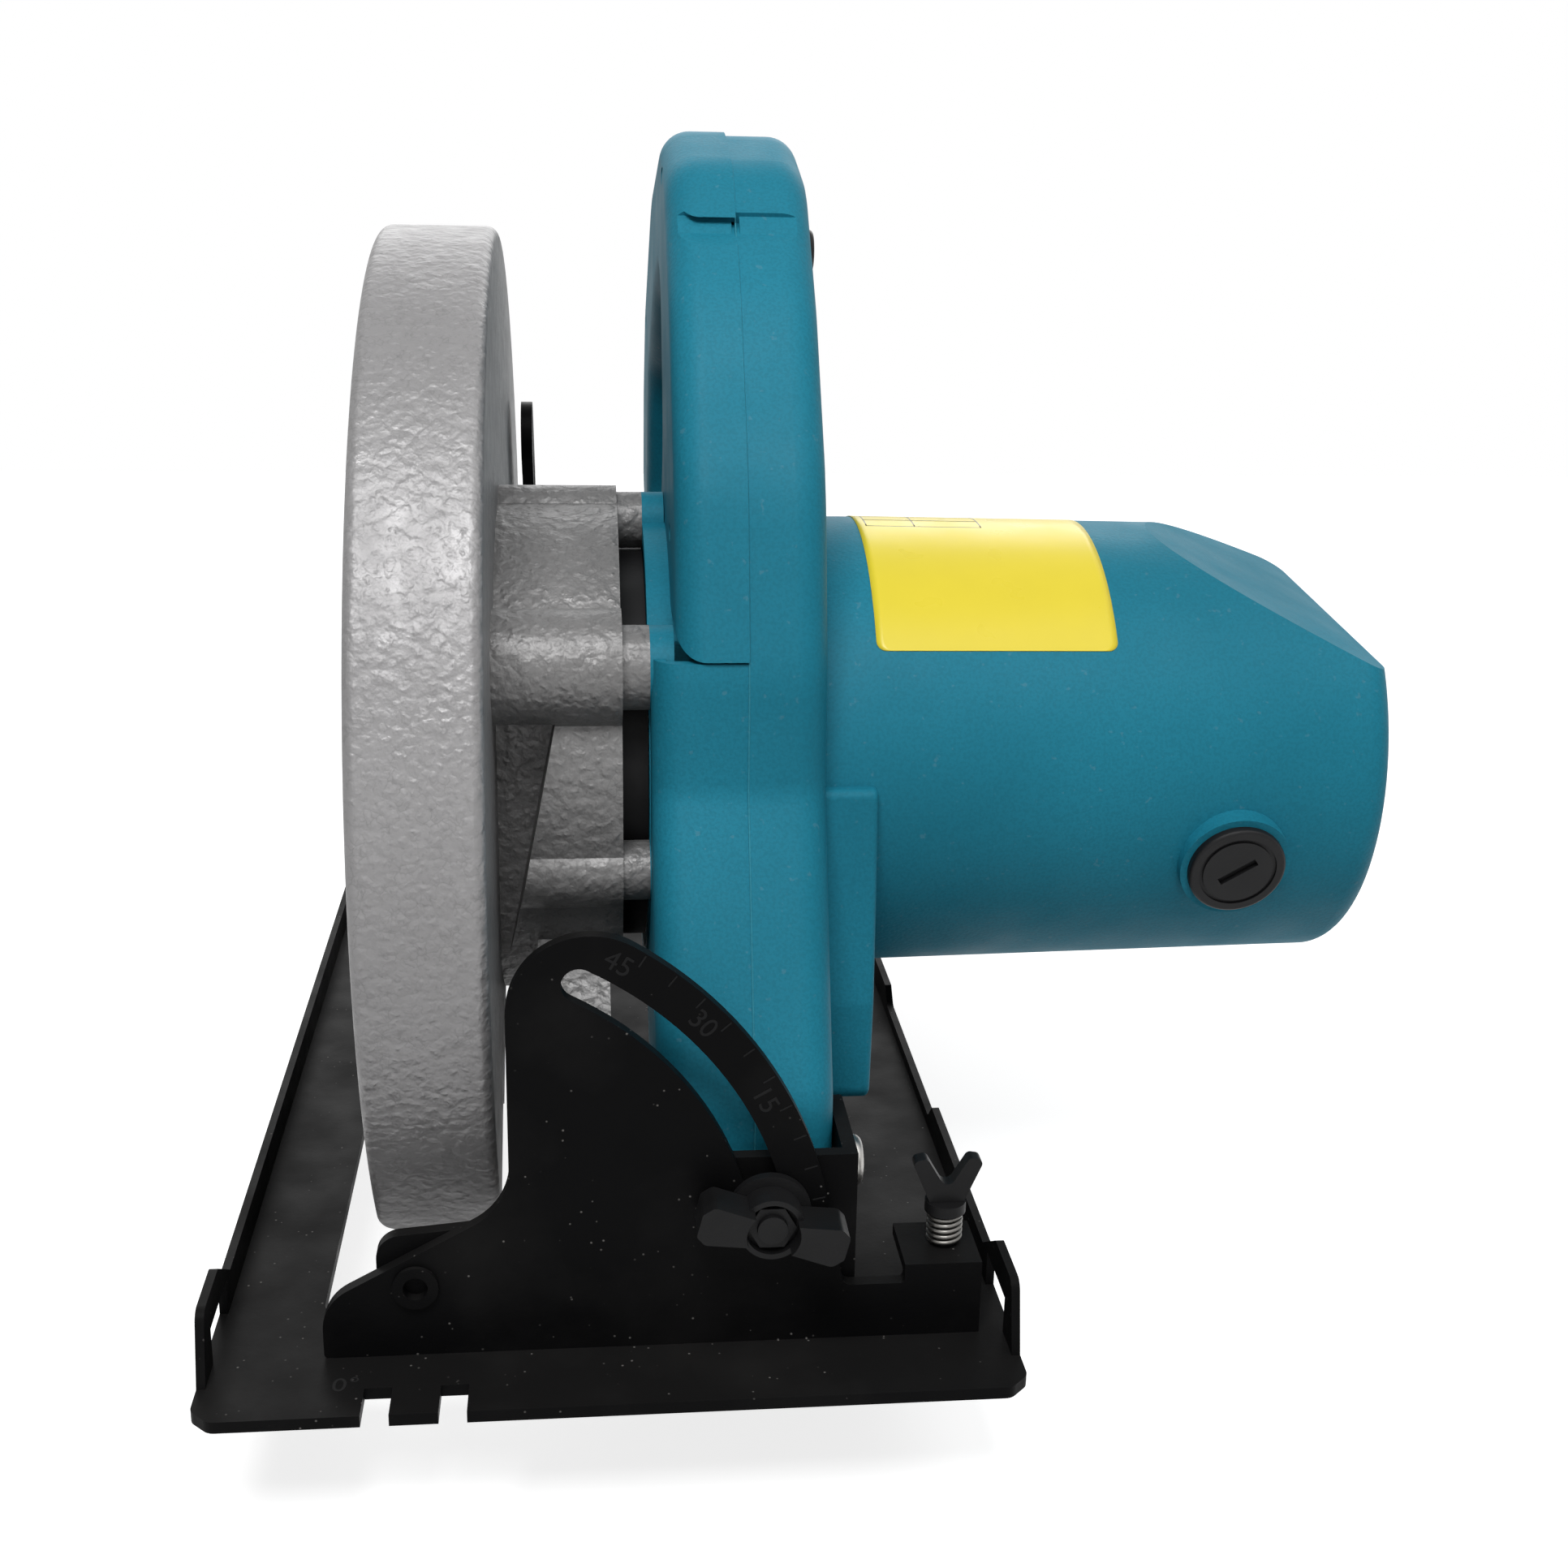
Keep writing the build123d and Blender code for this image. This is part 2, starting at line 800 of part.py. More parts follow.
def depth_pivot_pin():
    """Long rivet with a washer and a domed head outside each ear."""
    left = guard_right + 5.0
    right = handle_right_x + 0.5 + bracket_sheet
    centre = (pivot_y, pivot_z)
    pin = rod_x(pivot_pin_radius, left, right, centre)
    pin += rod_x(pivot_pin_radius * 1.35, right, right + 1.6, centre)
    dome = rod_x(pivot_pin_radius * 1.1, right + 1.6, right + 4.0, centre)
    pin += fillet(dome.edges().sort_by(Axis.X)[-1], 1.8)
    return pin + rod_x(pivot_pin_radius * 1.35, left - 1.8, left, centre)


def rear_tilt_bracket():
    """Rear swing plate, with a strap that carries the depth guide."""
    plate_left = bevel_x - 9.0
    face = outline(
        [
            (plate_left, bevel_z - 8.5),
            (guide_x1 + bracket_sheet, bevel_z - 8.5),
            (guide_x1 + bracket_sheet, bevel_z + 2.0),
            (bevel_x + 10.0, bevel_z + 2.0),
            (bevel_x + 8.0, bevel_z + 9.0),
            (plate_left, bevel_z + 9.0),
        ],
        [5, 1, 1, 2, 5, 5],
    )
    plate = plate_y(face, rear_bracket_y, rear_bracket_y + bracket_sheet)
    strap = outline(
        [
            (guide_foot_y0, bevel_z - 8.5),
            (rear_bracket_y + bracket_sheet, bevel_z - 8.5),
            (rear_bracket_y + bracket_sheet, bevel_z + 2.0),
            (guide_foot_y0, bevel_z + 2.0),
        ],
        [3, 0, 0, 3],
    )
    plate += plate_x(strap, guide_x1, guide_x1 + bracket_sheet)
    plate -= rod_y(
        bevel_pin_radius, rear_bracket_y - 1, rear_bracket_y + bracket_sheet + 1, (bevel_x, bevel_z)
    )
    for y in guide_rivet_y():
        plate -= rod_x(guide_rivet_radius, guide_x1 - 1, guide_x1 + bracket_sheet + 1, (y, guide_rivet_z))
    return plate


def guide_rivet_y():
    return (guide_foot_y0 + 6.0, rear_bracket_y - 5.0)


def rear_bevel_pin():
    centre = (bevel_x, bevel_z)
    tail = rear_stand_y + bracket_sheet
    pin = rod_y(bevel_pin_radius, rear_bracket_y, tail + slide_play, centre)
    pin += rod_y(bevel_pin_radius * 1.5, tail + slide_play, tail + slide_play + 2.0, centre)
    return pin + rod_y(bevel_pin_radius * 1.5, rear_bracket_y - 2.0, rear_bracket_y, centre)


def depth_guide():
    """Curved plate about the depth pivot, slotted for the clamp bolt, with a foot on the rear strap."""
    centre = (pivot_y, pivot_z)
    low = guide_rest_angle - depth_swing
    high = guide_rest_angle + shallow_swing
    tip = math.degrees(guide_tip / guide_radius)
    band = arc_slot(centre, guide_radius, low, high + tip, 2 * guide_band)
    toe = pivot_y + guide_radius
    foot = outline(
        [
            (toe - guide_band, bevel_z - 8.5),
            (rear_bracket_y, bevel_z - 8.5),
            (rear_bracket_y, bevel_z + 4.0),
            (toe + guide_band + 8.0, bevel_z + 6.0),
            (toe + guide_band - 0.5, pivot_z + 12.0),
            (toe - guide_band + 0.5, pivot_z + 8.0),
        ],
        [4, 1, 2, 6, 0, 0],
    )
    face = band + foot
    face -= arc_slot(centre, guide_radius, low, high, 2 * (clamp_bolt_radius + slide_play))
    for y in guide_rivet_y():
        face -= Pos(y, guide_rivet_z) * Circle(guide_rivet_radius)
    return plate_x(face, guide_x0, guide_x1)


def guide_rivets():
    rivets = []
    for y in guide_rivet_y():
        rivet = rod_x(guide_rivet_radius, guide_x0, guide_x1 + bracket_sheet, (y, guide_rivet_z))
        rivet += rod_x(
            guide_rivet_radius * 1.8,
            guide_x1 + bracket_sheet,
            guide_x1 + bracket_sheet + 1.4,
            (y, guide_rivet_z),
        )
        rivets.append(rivet)
    return rivets


def fence_clamp_screw():
    """Screw with a two-pronged wing head that clamps the fence bar."""
    seat = shelf_z + shelf_sheet + 2 * spring_seat_gap + spring_length
    centre = (clamp_x, fence_y)
    screw = rod_z(fence_screw_radius, screw_tip_z, seat + 1.0, centre)
    screw += rod_z(spring_mean_radius + spring_wire, seat, seat + 2.4, centre)
    prong = outline(
        [
            (-3.4, seat + 2.0),
            (3.4, seat + 2.0),
            (7.6, seat + prong_height),
            (4.4, seat + prong_height + 0.6),
            (0.0, seat + 5.0),
            (-4.4, seat + prong_height + 0.6),
            (-7.6, seat + prong_height),
        ],
        [0, 0, 1.2, 1.2, 1.6, 1.2, 1.2],
    )
    return screw + plate_y(Pos(clamp_x, 0) * prong, fence_y - 1.6, fence_y + 1.6)


# Guards
def upper_guard():
    wall_r = upper_radius - upper_wall
    profile = [
        (guard_left, upper_wall_inner),
        (guard_left, upper_radius),
        (guard_right, upper_radius),
        (guard_right, box_tube_radius + pin_play),
        (guard_right - upper_wall, box_tube_radius + pin_play),
        (guard_right - upper_wall, wall_r),
        (guard_left + upper_wall, wall_r),
        (guard_left + upper_wall, upper_wall_inner),
    ]
    radii = [0, rim_round, rim_round, 0, 0, 1, 1, 0]
    guard = turned(profile, radii, arbor, upper_rear_angle, upper_front_angle)
    guard += rod_x(
        box_tube_radius + 9.0, guard_right - upper_wall, guard_right, arbor, box_tube_radius + pin_play
    )
    guard += rod_x(clamp_boss_radius, guard_right - 0.5, guide_x0 - guide_gap, depth_clamp)
    tip = polar(arbor, upper_radius, upper_front_angle)
    turn = math.radians(upper_front_angle)
    end = Plane(
        origin=(0, *tip), x_dir=(1, 0, 0), z_dir=(0, math.cos(turn), math.sin(turn))
    )
    for x0, x1 in ((guard_left, guard_left + nose_cut), (guard_right, guard_right - nose_cut)):
        wedge = make_face(Polyline((x0, 0), (x1, 0), (x0, -nose_cut * 0.8), close=True))
        wedge = wedge + make_face(Polyline((x0, 0), (x1, 0), (x0, nose_cut * 0.8), close=True))
        guard -= extrude(end * wedge, amount=30.0, both=True)
    guard -= rod_x(clamp_bolt_radius, guard_right - upper_wall - 1, guide_x0 + 1, depth_clamp)
    for centre in guard_screw_places():
        guard -= rod_x(guard_screw_radius, guard_right - upper_wall - 1, guard_right + 1, centre)
    for angle in box_screw_angles:
        screw_at = polar(arbor, box_screw_circle, angle)
        guard -= rod_x(box_screw_radius, guard_right - upper_wall - 1, guard_right + 1, screw_at)
    return guard


def guard_screw_places():
    return [polar(arbor, guard_screw_circle, angle) for angle in guard_screw_angles]


def lower_guard():
    wall_r = lower_radius - lower_sheet
    profile = [
        (lower_left, lower_wall_inner),
        (lower_left, lower_radius),
        (lower_right, lower_radius),
        (lower_right, box_tube_radius + 0.1),
        (lower_right - lower_sheet, box_tube_radius + 0.1),
        (lower_right - lower_sheet, wall_r),
        (lower_left + lower_sheet, wall_r),
        (lower_left + lower_sheet, lower_wall_inner),
    ]
    radii = [0, 2.4, 2.4, 0, 0, 0.6, 0.6, 0]
    guard = turned(profile, radii, arbor, lower_front_angle, lower_rear_angle + 360.0)
    guard += rod_x(
        box_tube_radius + 12.0, lower_right - lower_sheet, lower_right, arbor, box_tube_radius + 0.1
    )
    for angle in lever_rivet_angles():
        guard -= rod_x(
            lever_rivet_radius,
            lower_left - 1,
            lower_left + lower_sheet + 1,
            polar(arbor, lever_circle, angle),
        )
    return guard


def lever_rivet_angles():
    return (lever_angle - lever_spread, lever_angle + lever_spread)


def guard_lever():
    """Finger lever on the lower guard's outer wall, bent outwards."""
    foot = arc_slot(arbor, lever_circle, lever_angle - lever_spread, lever_angle + lever_spread, 8.0)
    for angle in lever_rivet_angles():
        foot -= Pos(*polar(arbor, lever_circle, angle)) * Circle(lever_rivet_radius)
    plate = plate_x(foot, lower_left - lever_sheet, lower_left)
    stem = arc_slot(arbor, lever_circle, lever_angle - 3.5, lever_angle + 3.5, 4.0)
    plate += plate_x(stem, lower_left - lever_sheet - lever_reach, lower_left - lever_sheet)
    knob = rod_x(
        4.0, lower_left - lever_sheet - lever_reach - 2.0, lower_left - lever_sheet - lever_reach + 5.0,
        polar(arbor, lever_circle, lever_angle),
    )
    return plate + fillet(knob.edges().filter_by(GeomType.CIRCLE), 1.2)


def lever_rivets():
    rivets = []
    for angle in lever_rivet_angles():
        centre = polar(arbor, lever_circle, angle)
        rivet = rod_x(lever_rivet_radius, lower_left - lever_sheet, lower_left + lower_sheet, centre)
        rivet += rod_x(
            lever_rivet_radius * 1.7, lower_left - lever_sheet - 1.0, lower_left - lever_sheet, centre
        )
        rivets.append(rivet)
    return rivets


def bearing_box():
    box = rod_x(box_tube_radius, tube_end, front_bearing_end + 1.5, arbor, front_bearing_radius)
    box += rod_x(
        box_flange_radius, guard_right, guard_right + box_flange_width, arbor, front_bearing_radius
    )
    box += rod_x(box_tube_radius, tube_end, front_bearing_start, arbor, spindle_radius + 2.5)
    groove = rod_x(box_tube_radius + 1, tube_end + 0.3, tube_end + 0.3 + ring_width, arbor, ring_inner)
    for angle in box_screw_angles:
        box -= rod_x(
            box_screw_radius, guard_right - 1, guard_right + 9, polar(arbor, box_screw_circle, angle)
        )
    return box - groove


def guard_ring():
    """Split ring that keeps the lower guard on the bearing box."""
    ring = rod_x(box_tube_radius + 1.8, tube_end + 0.3, tube_end + 0.3 + ring_width, arbor, ring_inner)
    gap = block(
        tube_end, tube_end + 2, arbor[0] - 2.0, arbor[0] + 2.0, arbor[1], arbor[1] + box_tube_radius + 5
    )
    return ring - gap


def guard_spring():
    """Return spring pack between the lower guard's hub and the upper guard's wall."""
    x0 = lower_right + 0.35
    return rod_x(box_tube_radius + 5.0, x0, x0 + 1.4, arbor, box_tube_radius + 0.4)


def box_screws():
    screws = []
    for angle in box_screw_angles:
        centre = polar(arbor, box_screw_circle, angle)
        screw = rod_x(box_screw_radius, guard_right - upper_wall, guard_right + box_flange_width, centre)
        screw += rod_x(
            box_screw_radius * 1.8,
            guard_right + box_flange_width,
            guard_right + box_flange_width + 1.8,
            centre,
        )
        screws.append(screw)
    return screws


def guard_screws():
    screws = []
    for centre in guard_screw_places():
        screw = rod_x(
            guard_screw_radius, guard_right - upper_wall, guard_right + guard_screw_bite, centre
        )
        screws.append(screw + rod_x(
            guard_screw_radius * 1.7, guard_right - upper_wall - 1.2, guard_right - upper_wall, centre
        ))
    return screws


def bearing(outer, inner, x0, x1, centre):
    """Plain ring that stands for a ball bearing with shields."""
    ring = rod_x(outer, x0, x1, centre, inner)
    step = (outer - inner) / 3
    for face_x in (x0, x1 - 0.4):
        ring -= rod_x(outer - step, face_x, face_x + 0.4, centre, inner + step)
    return ring


def spindle_bearings():
    tail_start = gear_end - case_partition
    return [
        bearing(
            front_bearing_radius,
            spindle_radius + pin_play,
            front_bearing_start,
            front_bearing_end,
            arbor,
        ),
        bearing(
            tail_bearing_radius,
            spindle_tail_radius + pin_play,
            tail_start,
            tail_start + tail_bearing_width,
            arbor,
        ),
    ]


def spindle():
    tail_start = gear_end - case_partition
    shaft = rod_x(spindle_radius, blade_right, gear_start + gear_width, arbor)
    shaft += rod_x(spindle_tail_radius, gear_start + gear_width, tail_start + tail_bearing_width, arbor)
    shaft -= rod_x(blade_bolt_radius, blade_right - 1, blade_right + bolt_bite, arbor)
    return shaft


def gear_face(teeth, offset):
    """Involute gear outline, with stub teeth thinned for backlash."""
    pitch = gear_module * teeth / 2
    tip = pitch + 0.7 * gear_module
    root = pitch - 0.95 * gear_module
    base = pitch * math.cos(math.radians(pressure_angle))
    half_tooth = math.pi / (2 * teeth) - tooth_thinning / (2 * pitch)
    roll_pitch = math.tan(math.radians(pressure_angle))
    involute_pitch = roll_pitch - math.radians(pressure_angle)
    start = max(base, root)
    flank = []
    for step in range(5):
        radius = start + (tip - start) * step / 4
        roll = math.sqrt(max(radius * radius / (base * base) - 1, 0))
        flank.append((radius, half_tooth + involute_pitch - (roll - math.atan(roll))))
    points = []
    for tooth in range(teeth):
        middle = math.radians(offset) + 2 * math.pi * tooth / teeth
        rising = [(root, -flank[0][1])] + [(radius, -turn) for radius, turn in flank]
        falling = [(radius, turn) for radius, turn in reversed(flank)] + [(root, flank[0][1])]
        for radius, turn in rising + falling:
            points.append((radius * math.cos(middle + turn), radius * math.sin(middle + turn)))
    distinct = [p for p, q in zip(points, points[1:] + points[:1]) if math.dist(p, q) > 1e-6]
    return make_face(Polyline(*distinct, close=True))


def drive_gear():
    face = Pos(*arbor) * gear_face(gear_teeth, mesh_angle + 180.0 / gear_teeth)
    face -= Pos(*arbor) * Circle(spindle_radius)
    gear = plate_x(face, gear_start, gear_start + gear_width)
    dish = rod_x(
        gear_pitch - 5.0,
        gear_start + gear_width - 2.0,
        gear_start + gear_width + 1,
        arbor,
        spindle_radius + 4.0,
    )
    return gear - dish


def inner_flange():
    flange = rod_x(flange_radius, blade_right, flange_shoulder, arbor, spindle_radius)
    flange += rod_x(blade_bore / 2, blade_left + 0.2, blade_right, arbor, blade_bolt_radius + 0.2)
    relief = rod_x(flange_radius - 7.0, blade_right, blade_right + 0.8, arbor, blade_bore / 2)
    return flange - relief


def outer_flange():
    flange = rod_x(
        flange_radius, blade_left - outer_flange_width, blade_left, arbor, blade_bolt_radius + 0.1
    )
    flange = chamfer(
        flange.edges().filter_by(GeomType.CIRCLE).group_by(Axis.X)[0].sort_by(SortBy.RADIUS)[-1], 1.5
    )
    return flange - rod_x(
        flange_radius - 7.0, blade_left - 0.8, blade_left, arbor, blade_bolt_radius + 3.0
    )


def saw_blade():
    """Blade body with gullets, expansion slots and seats for the tips."""
    body = Pos(*arbor) * Circle(blade_radius - 0.6)
    pitch = 360.0 / tooth_count
    for tooth in range(tooth_count):
        at = tooth * pitch
        gullet = make_face(
            Polyline(
                polar(arbor, blade_radius + 1.0, at),
                polar(arbor, gullet_root, at - tooth_hook),
                polar(arbor, gullet_root, at - 0.30 * pitch),
                polar(arbor, blade_radius - 3.6, at - 0.44 * pitch),
                polar(arbor, blade_radius - 0.9, at - 0.97 * pitch),
                polar(arbor, blade_radius + 1.0, at - 0.99 * pitch),
                polar(arbor, blade_radius + 8.0, at - 0.5 * pitch),
                close=True,
            )
        )
        body -= gullet
    for slot in range(slot_count):
        at = (slot * tooth_count // slot_count) * pitch - 0.30 * pitch
        body -= make_face(
            Polyline(
                polar(arbor, gullet_root + 1.0, at - 0.25),
                polar(arbor, slot_root, at - 0.35),
                polar(arbor, slot_root, at + 0.35),
                polar(arbor, gullet_root + 1.0, at + 0.25),
                close=True,
            )
        )
        body -= Pos(*polar(arbor, slot_root, at)) * Circle(2.6)
    body -= Pos(*arbor) * Circle(blade_bore / 2 + pin_play)
    return plate_x(body, blade_left, blade_right)


def tip_face_angle(at, radius):
    """Angle of the tip's back at one radius, just off the tooth's front."""
    down = (blade_radius + 1.0 - radius) / (blade_radius + 1.0 - gullet_root)
    return at - tooth_hook * down - math.degrees(tip_seat / blade_radius)


def carbide_tips():
    """Brazed tips in front of each tooth, a little wider than the body."""
    tips = []
    pitch = 360.0 / tooth_count
    for tooth in range(tooth_count):
        at = tooth * pitch
        thick = math.degrees(tip_width / blade_radius)
        heel = blade_radius - tip_length
        face = make_face(
            Polyline(
                polar(arbor, blade_radius, tip_face_angle(at, blade_radius)),
                polar(arbor, blade_radius - 0.5, tip_face_angle(at, blade_radius) - thick),
                polar(arbor, heel, tip_face_angle(at, heel) - thick),
                polar(arbor, heel, tip_face_angle(at, heel)),
                close=True,
            )
        )
        tips.append(plate_x(face, blade_x - blade_kerf / 2, blade_x + blade_kerf / 2))
    return tips


def blade_bolt():
    """Hexagon bolt with a washer face, screwed into the spindle."""
    face_x = blade_left - outer_flange_width
    hexagon = Pos(*arbor) * RegularPolygon(bolt_head_flats / math.sqrt(3), 6)
    bolt = plate_x(hexagon, face_x - 1.6 - bolt_head_height, face_x - 1.6)
    bolt += rod_x(bolt_head_flats * 0.75, face_x - 1.6, face_x, arbor)
    return bolt + rod_x(blade_bolt_radius, face_x, blade_right + bolt_bite - 1.0, arbor)


# Gear housing
def belly_cut(depth):
    """Block below a line that is level with the sole at the full depth of cut."""
    turn = math.radians(depth_swing)
    plane = Plane(
        origin=(0, pivot_y, pivot_z), x_dir=(1, 0, 0), z_dir=(0, -math.sin(turn), math.cos(turn))
    )
    return plane * (Pos(0, 100.0, -depth - 60.0) * Box(600.0, 500.0, 120.0))


def bosses():
    """Centre, main radius and neck radius of each screw boss on the gear housing."""
    places = [(polar(motor, front_boss_circle, front_boss_angle), front_boss_radius, front_neck_radius)]
    for angle in lug_angles:
        places.append((polar(motor, lug_circle, angle), lug_radius, lug_neck_radius))
    return places


def gear_housing():
    case = rod_x(drum_radius, guard_right, gear_end, motor)
    case += rod_x(gear_pitch + 7.0, guard_right, gear_end, arbor)
    case -= belly_cut(case_belly)
    for centre, radius, neck in bosses():
        case += rod_x(radius, guard_right, gear_end, centre)
        case += rod_x(neck, gear_end, flange_x, centre)
    case -= drum_pocket()
    case += pivot_arm()
    case -= rod_x(pivot_pin_radius + pin_play, guard_right, handle_left_x, (pivot_y, pivot_z))
    case -= gear_chamber()
    partition = gear_end - case_partition
    case -= rod_x(tail_bearing_radius, partition - 1, partition + tail_bearing_width, arbor)
    case -= rod_x(motor_bearing_radius, gear_end - motor_bearing_width, gear_end + 1, motor)
    case -= rod_x(pinion_pitch + 3.0, partition - 1, gear_end, motor)
    for centre, radius, neck in bosses():
        case -= rod_x(screw_radius, gear_end - 12.0, flange_x + 1, centre)
    for centre in guard_screw_places():
        case -= rod_x(guard_screw_radius, guard_right - 1, guard_right + guard_screw_bite, centre)
    return case


def drum_pocket():
    """Triangular recess beside the guard, below the front boss."""
    top = polar(motor, front_boss_circle, front_boss_angle)[1] - front_boss_radius
    face = make_face(
        Polyline(
            (guard_right, top + 2.0),
            (guard_right + pocket_width, top + 2.0),
            (guard_right + 2.0, top - pocket_drop),
            (guard_right, top - pocket_drop), close=True
        )
    )
    return plate_y(face, motor[0] - drum_radius - 5.0, motor[0] - drum_radius + pocket_depth)


def pivot_arm():
    """Cast arm from the drum's front to the depth pivot."""
    centre = (pivot_y, pivot_z)
    arm = make_face(
        Polyline(
            polar(centre, 11.0, 140.0),
            polar(motor, drum_radius - 4.0, arm_from),
            polar(motor, drum_radius - 4.0, arm_to),
            polar(centre, 11.0, -50.0),
            close=True,
        )
    )
    face = arm + Pos(*centre) * Circle(11.0)
    left = guard_right + 5.0 + bracket_sheet + slide_play
    return plate_x(face, left, gear_end - 3.0)


def gear_chamber():
    """Hollow for the drive gear, the pinion and the bearing box."""
    start = guard_right - 1
    stop = gear_end - case_partition
    room = rod_x(gear_pitch + 2.5, start, stop, arbor)
    room += rod_x(box_flange_radius + 0.3, start, guard_right + box_flange_width + 2.2, arbor)
    room += rod_x(pinion_pitch + 4.0, start, stop, motor)
    return room


# Motor
def motor_bearings():
    tail = barrel_end - end_wall
    return [
        bearing(
            motor_bearing_radius,
            shaft_radius + pin_play,
            gear_end - motor_bearing_width,
            gear_end,
            motor,
        ),
        bearing(
            tail_bearing_radius, shaft_tail_radius + pin_play, tail - tail_bearing_width, tail, motor
        ),
    ]


def motor_housing():
    """Moulded barrel with a flange, an end wall with vents, brush seats and a front rib."""
    far = barrel_radius - math.tan(math.radians(barrel_draft)) * (barrel_length - 60.0)
    profile = [
        (flange_x, 0.0),
        (flange_x, barrel_radius),
        (handle_right_x + 10.0, barrel_radius),
        (barrel_end, far),
        (barrel_end, 0.0),
    ]
    shell = turned(profile, [0, 0, 20, 6, 0], motor, 0.0, 360.0)
    shell += front_rib()
    shell += brush_seats()
    shell -= end_facet(0.0)
    inner = [
        (flange_x - 1, 0.0),
        (flange_x - 1, barrel_radius - barrel_wall),
        (handle_right_x + 10.0, barrel_radius - barrel_wall),
        (barrel_end - end_wall, far - barrel_wall),
        (barrel_end - end_wall, 0.0),
    ]
    shell -= turned(inner, [0, 0, 10, 2, 0], motor, 0.0, 360.0) - end_facet(barrel_wall)
    for centre, _, neck in bosses():
        ear = rod_x(neck, flange_x, flange_x + flange_plate, centre)
        ear -= rod_x(barrel_radius - barrel_wall, flange_x - 1, flange_x + flange_plate + 1, motor)
        shell += ear
        shell -= rod_x(screw_radius, flange_x - 1, flange_x + flange_plate + 1, centre)
    tail = barrel_end - end_wall
    shell += rod_x(
        tail_bearing_radius + 3.0, tail - tail_bearing_width, tail, motor, tail_bearing_radius
    )
    shell += field_seat()
    for place in brush_places():
        shell -= place * column(holder_radius + pin_play, 0.0, cap_seat + 1.0)
    for angle in range(160, 361, 40):
        slot = arc_slot(motor, 33.0, angle + 8.0, angle + 32.0, 5.0)
        shell -= plate_x(slot, barrel_end - end_wall - 1, barrel_end + 1)
    for step in range(vent_count):
        shell -= rear_vent(step)
    return shell


def rear_vent(step):
    """Air slot through the barrel's back."""
    x = barrel_end - 24.0 - 7.0 * step
    return block(x, x + 3.0, motor[0] + 30.0, motor[0] + 70.0, motor[1] - 16.0, motor[1] + 18.0)


def front_rib():
    """Upright rib box between the front leg and the barrel."""
    face = outline(
        [
            (motor[0] - barrel_radius - 3.0, motor[1] + 4.5),
            (motor[0] - barrel_radius - 6.0, motor[1] - 44.0),
            (motor[0] - barrel_radius - 4.0, motor[1] - 70.0),
            (motor[0] - barrel_radius + 8.0, motor[1] - 66.0),
            (motor[0] - 20.0, motor[1] - 40.0),
            (motor[0] - 20.0, motor[1] + 4.5),
        ],
        [2, 10, 4, 4, 0, 0],
    )
    rib = plate_x(face, handle_right_x + handle_gap, handle_right_x + 12.0)
    return fillet(rib.edges().filter_by(GeomType.LINE).group_by(Axis.X)[-1].sort_by(Axis.Y)[0:3], 1.4)


def end_facet(depth):
    """Block beyond the slanted flat across the barrel's top at its free end, or a depth inside it."""
    rise = math.radians(facet_angle)
    slope = math.radians(facet_slope)
    out = (math.cos(rise), math.sin(rise))
    start = (motor[0] + barrel_radius * out[0], motor[1] + barrel_radius * out[1])
    plane = Plane(
        origin=(barrel_end - facet_length, *start),
        x_dir=(0, -out[1], out[0]),
        z_dir=(math.sin(slope), math.cos(slope) * out[0], math.cos(slope) * out[1]),
    )
    return plane * Pos(0, 0, 50.0 - depth) * Box(300.0, 300.0, 100.0)


def field_seat():
    """Ring of ribs that grips the field core."""
    seat = rod_x(barrel_radius - barrel_wall + 0.5, core_x0 + 6.0, core_x1 - 6.0, motor, field_radius)
    for angle in (45.0, 135.0, 225.0, 315.0):
        seat -= Pos(0, *motor) * Rot(angle, 0, 0) * Box(400.0, 200.0, 16.0)
    return seat


def field_core():
    """Field laminations with two pole shoes."""
    ring = Pos(*motor) * Circle(field_radius)
    ring -= Pos(*motor) * Circle(field_radius - yoke_width)
    for angle in pole_angles:
        neck = make_face(
            Polyline(
                polar(motor, core_radius, angle - pole_half),
                polar(motor, field_radius - yoke_width / 2, angle - pole_half),
                polar(motor, field_radius - yoke_width / 2, angle + pole_half),
                polar(motor, core_radius, angle + pole_half),
                close=True,
            )
        )
        horn_radius = core_radius + air_gap + horn_width / 2
        ring += neck + arc_slot(motor, horn_radius, angle - 50.0, angle + 50.0, horn_width)
    ring -= Pos(*motor) * Circle(core_radius + air_gap)
    return plate_x(ring, core_x0, core_x1)


def field_coils():
    """Two wound coils, one round each pole."""
    mean = (coil_inner + coil_outer) / 2
    thick = coil_outer - coil_inner
    end = math.degrees(thick / 2 / coil_inner)
    first = pole_half + end + 1.0
    last = first + 14.0
    coils = []
    for angle in pole_angles:
        head = arc_slot(motor, mean, angle - last, angle + last, thick)
        loop = plate_x(head, core_x0 - coil_gap - coil_overhang, core_x0 - coil_gap)
        loop += plate_x(head, core_x1 + coil_gap, core_x1 + coil_gap + coil_overhang)
        for side in (-1, 1):
            bar = arc_slot(motor, mean, angle + side * first, angle + side * last, thick)
            loop += plate_x(bar, core_x0 - coil_gap - 1.0, core_x1 + coil_gap + 1.0)
        coils.append(loop)
    return coils


def armature_shaft():
    """Shaft with its pinion cut on the end."""
    tail = barrel_end - end_wall
    shaft = rod_x(shaft_radius, gear_end - motor_bearing_width, commutator_x0 + commutator_length, motor)
    shaft += rod_x(shaft_tail_radius, commutator_x0 + commutator_length, tail, motor)
    face = Pos(*motor) * gear_face(pinion_teeth, mesh_angle + 180.0)
    shaft += plate_x(face, gear_start - 1.0, gear_start + gear_width + 1.0)
    shaft += rod_x(
        pinion_pitch - 0.95 * gear_module, gear_start, gear_end - motor_bearing_width + 1, motor
    )
    return shaft


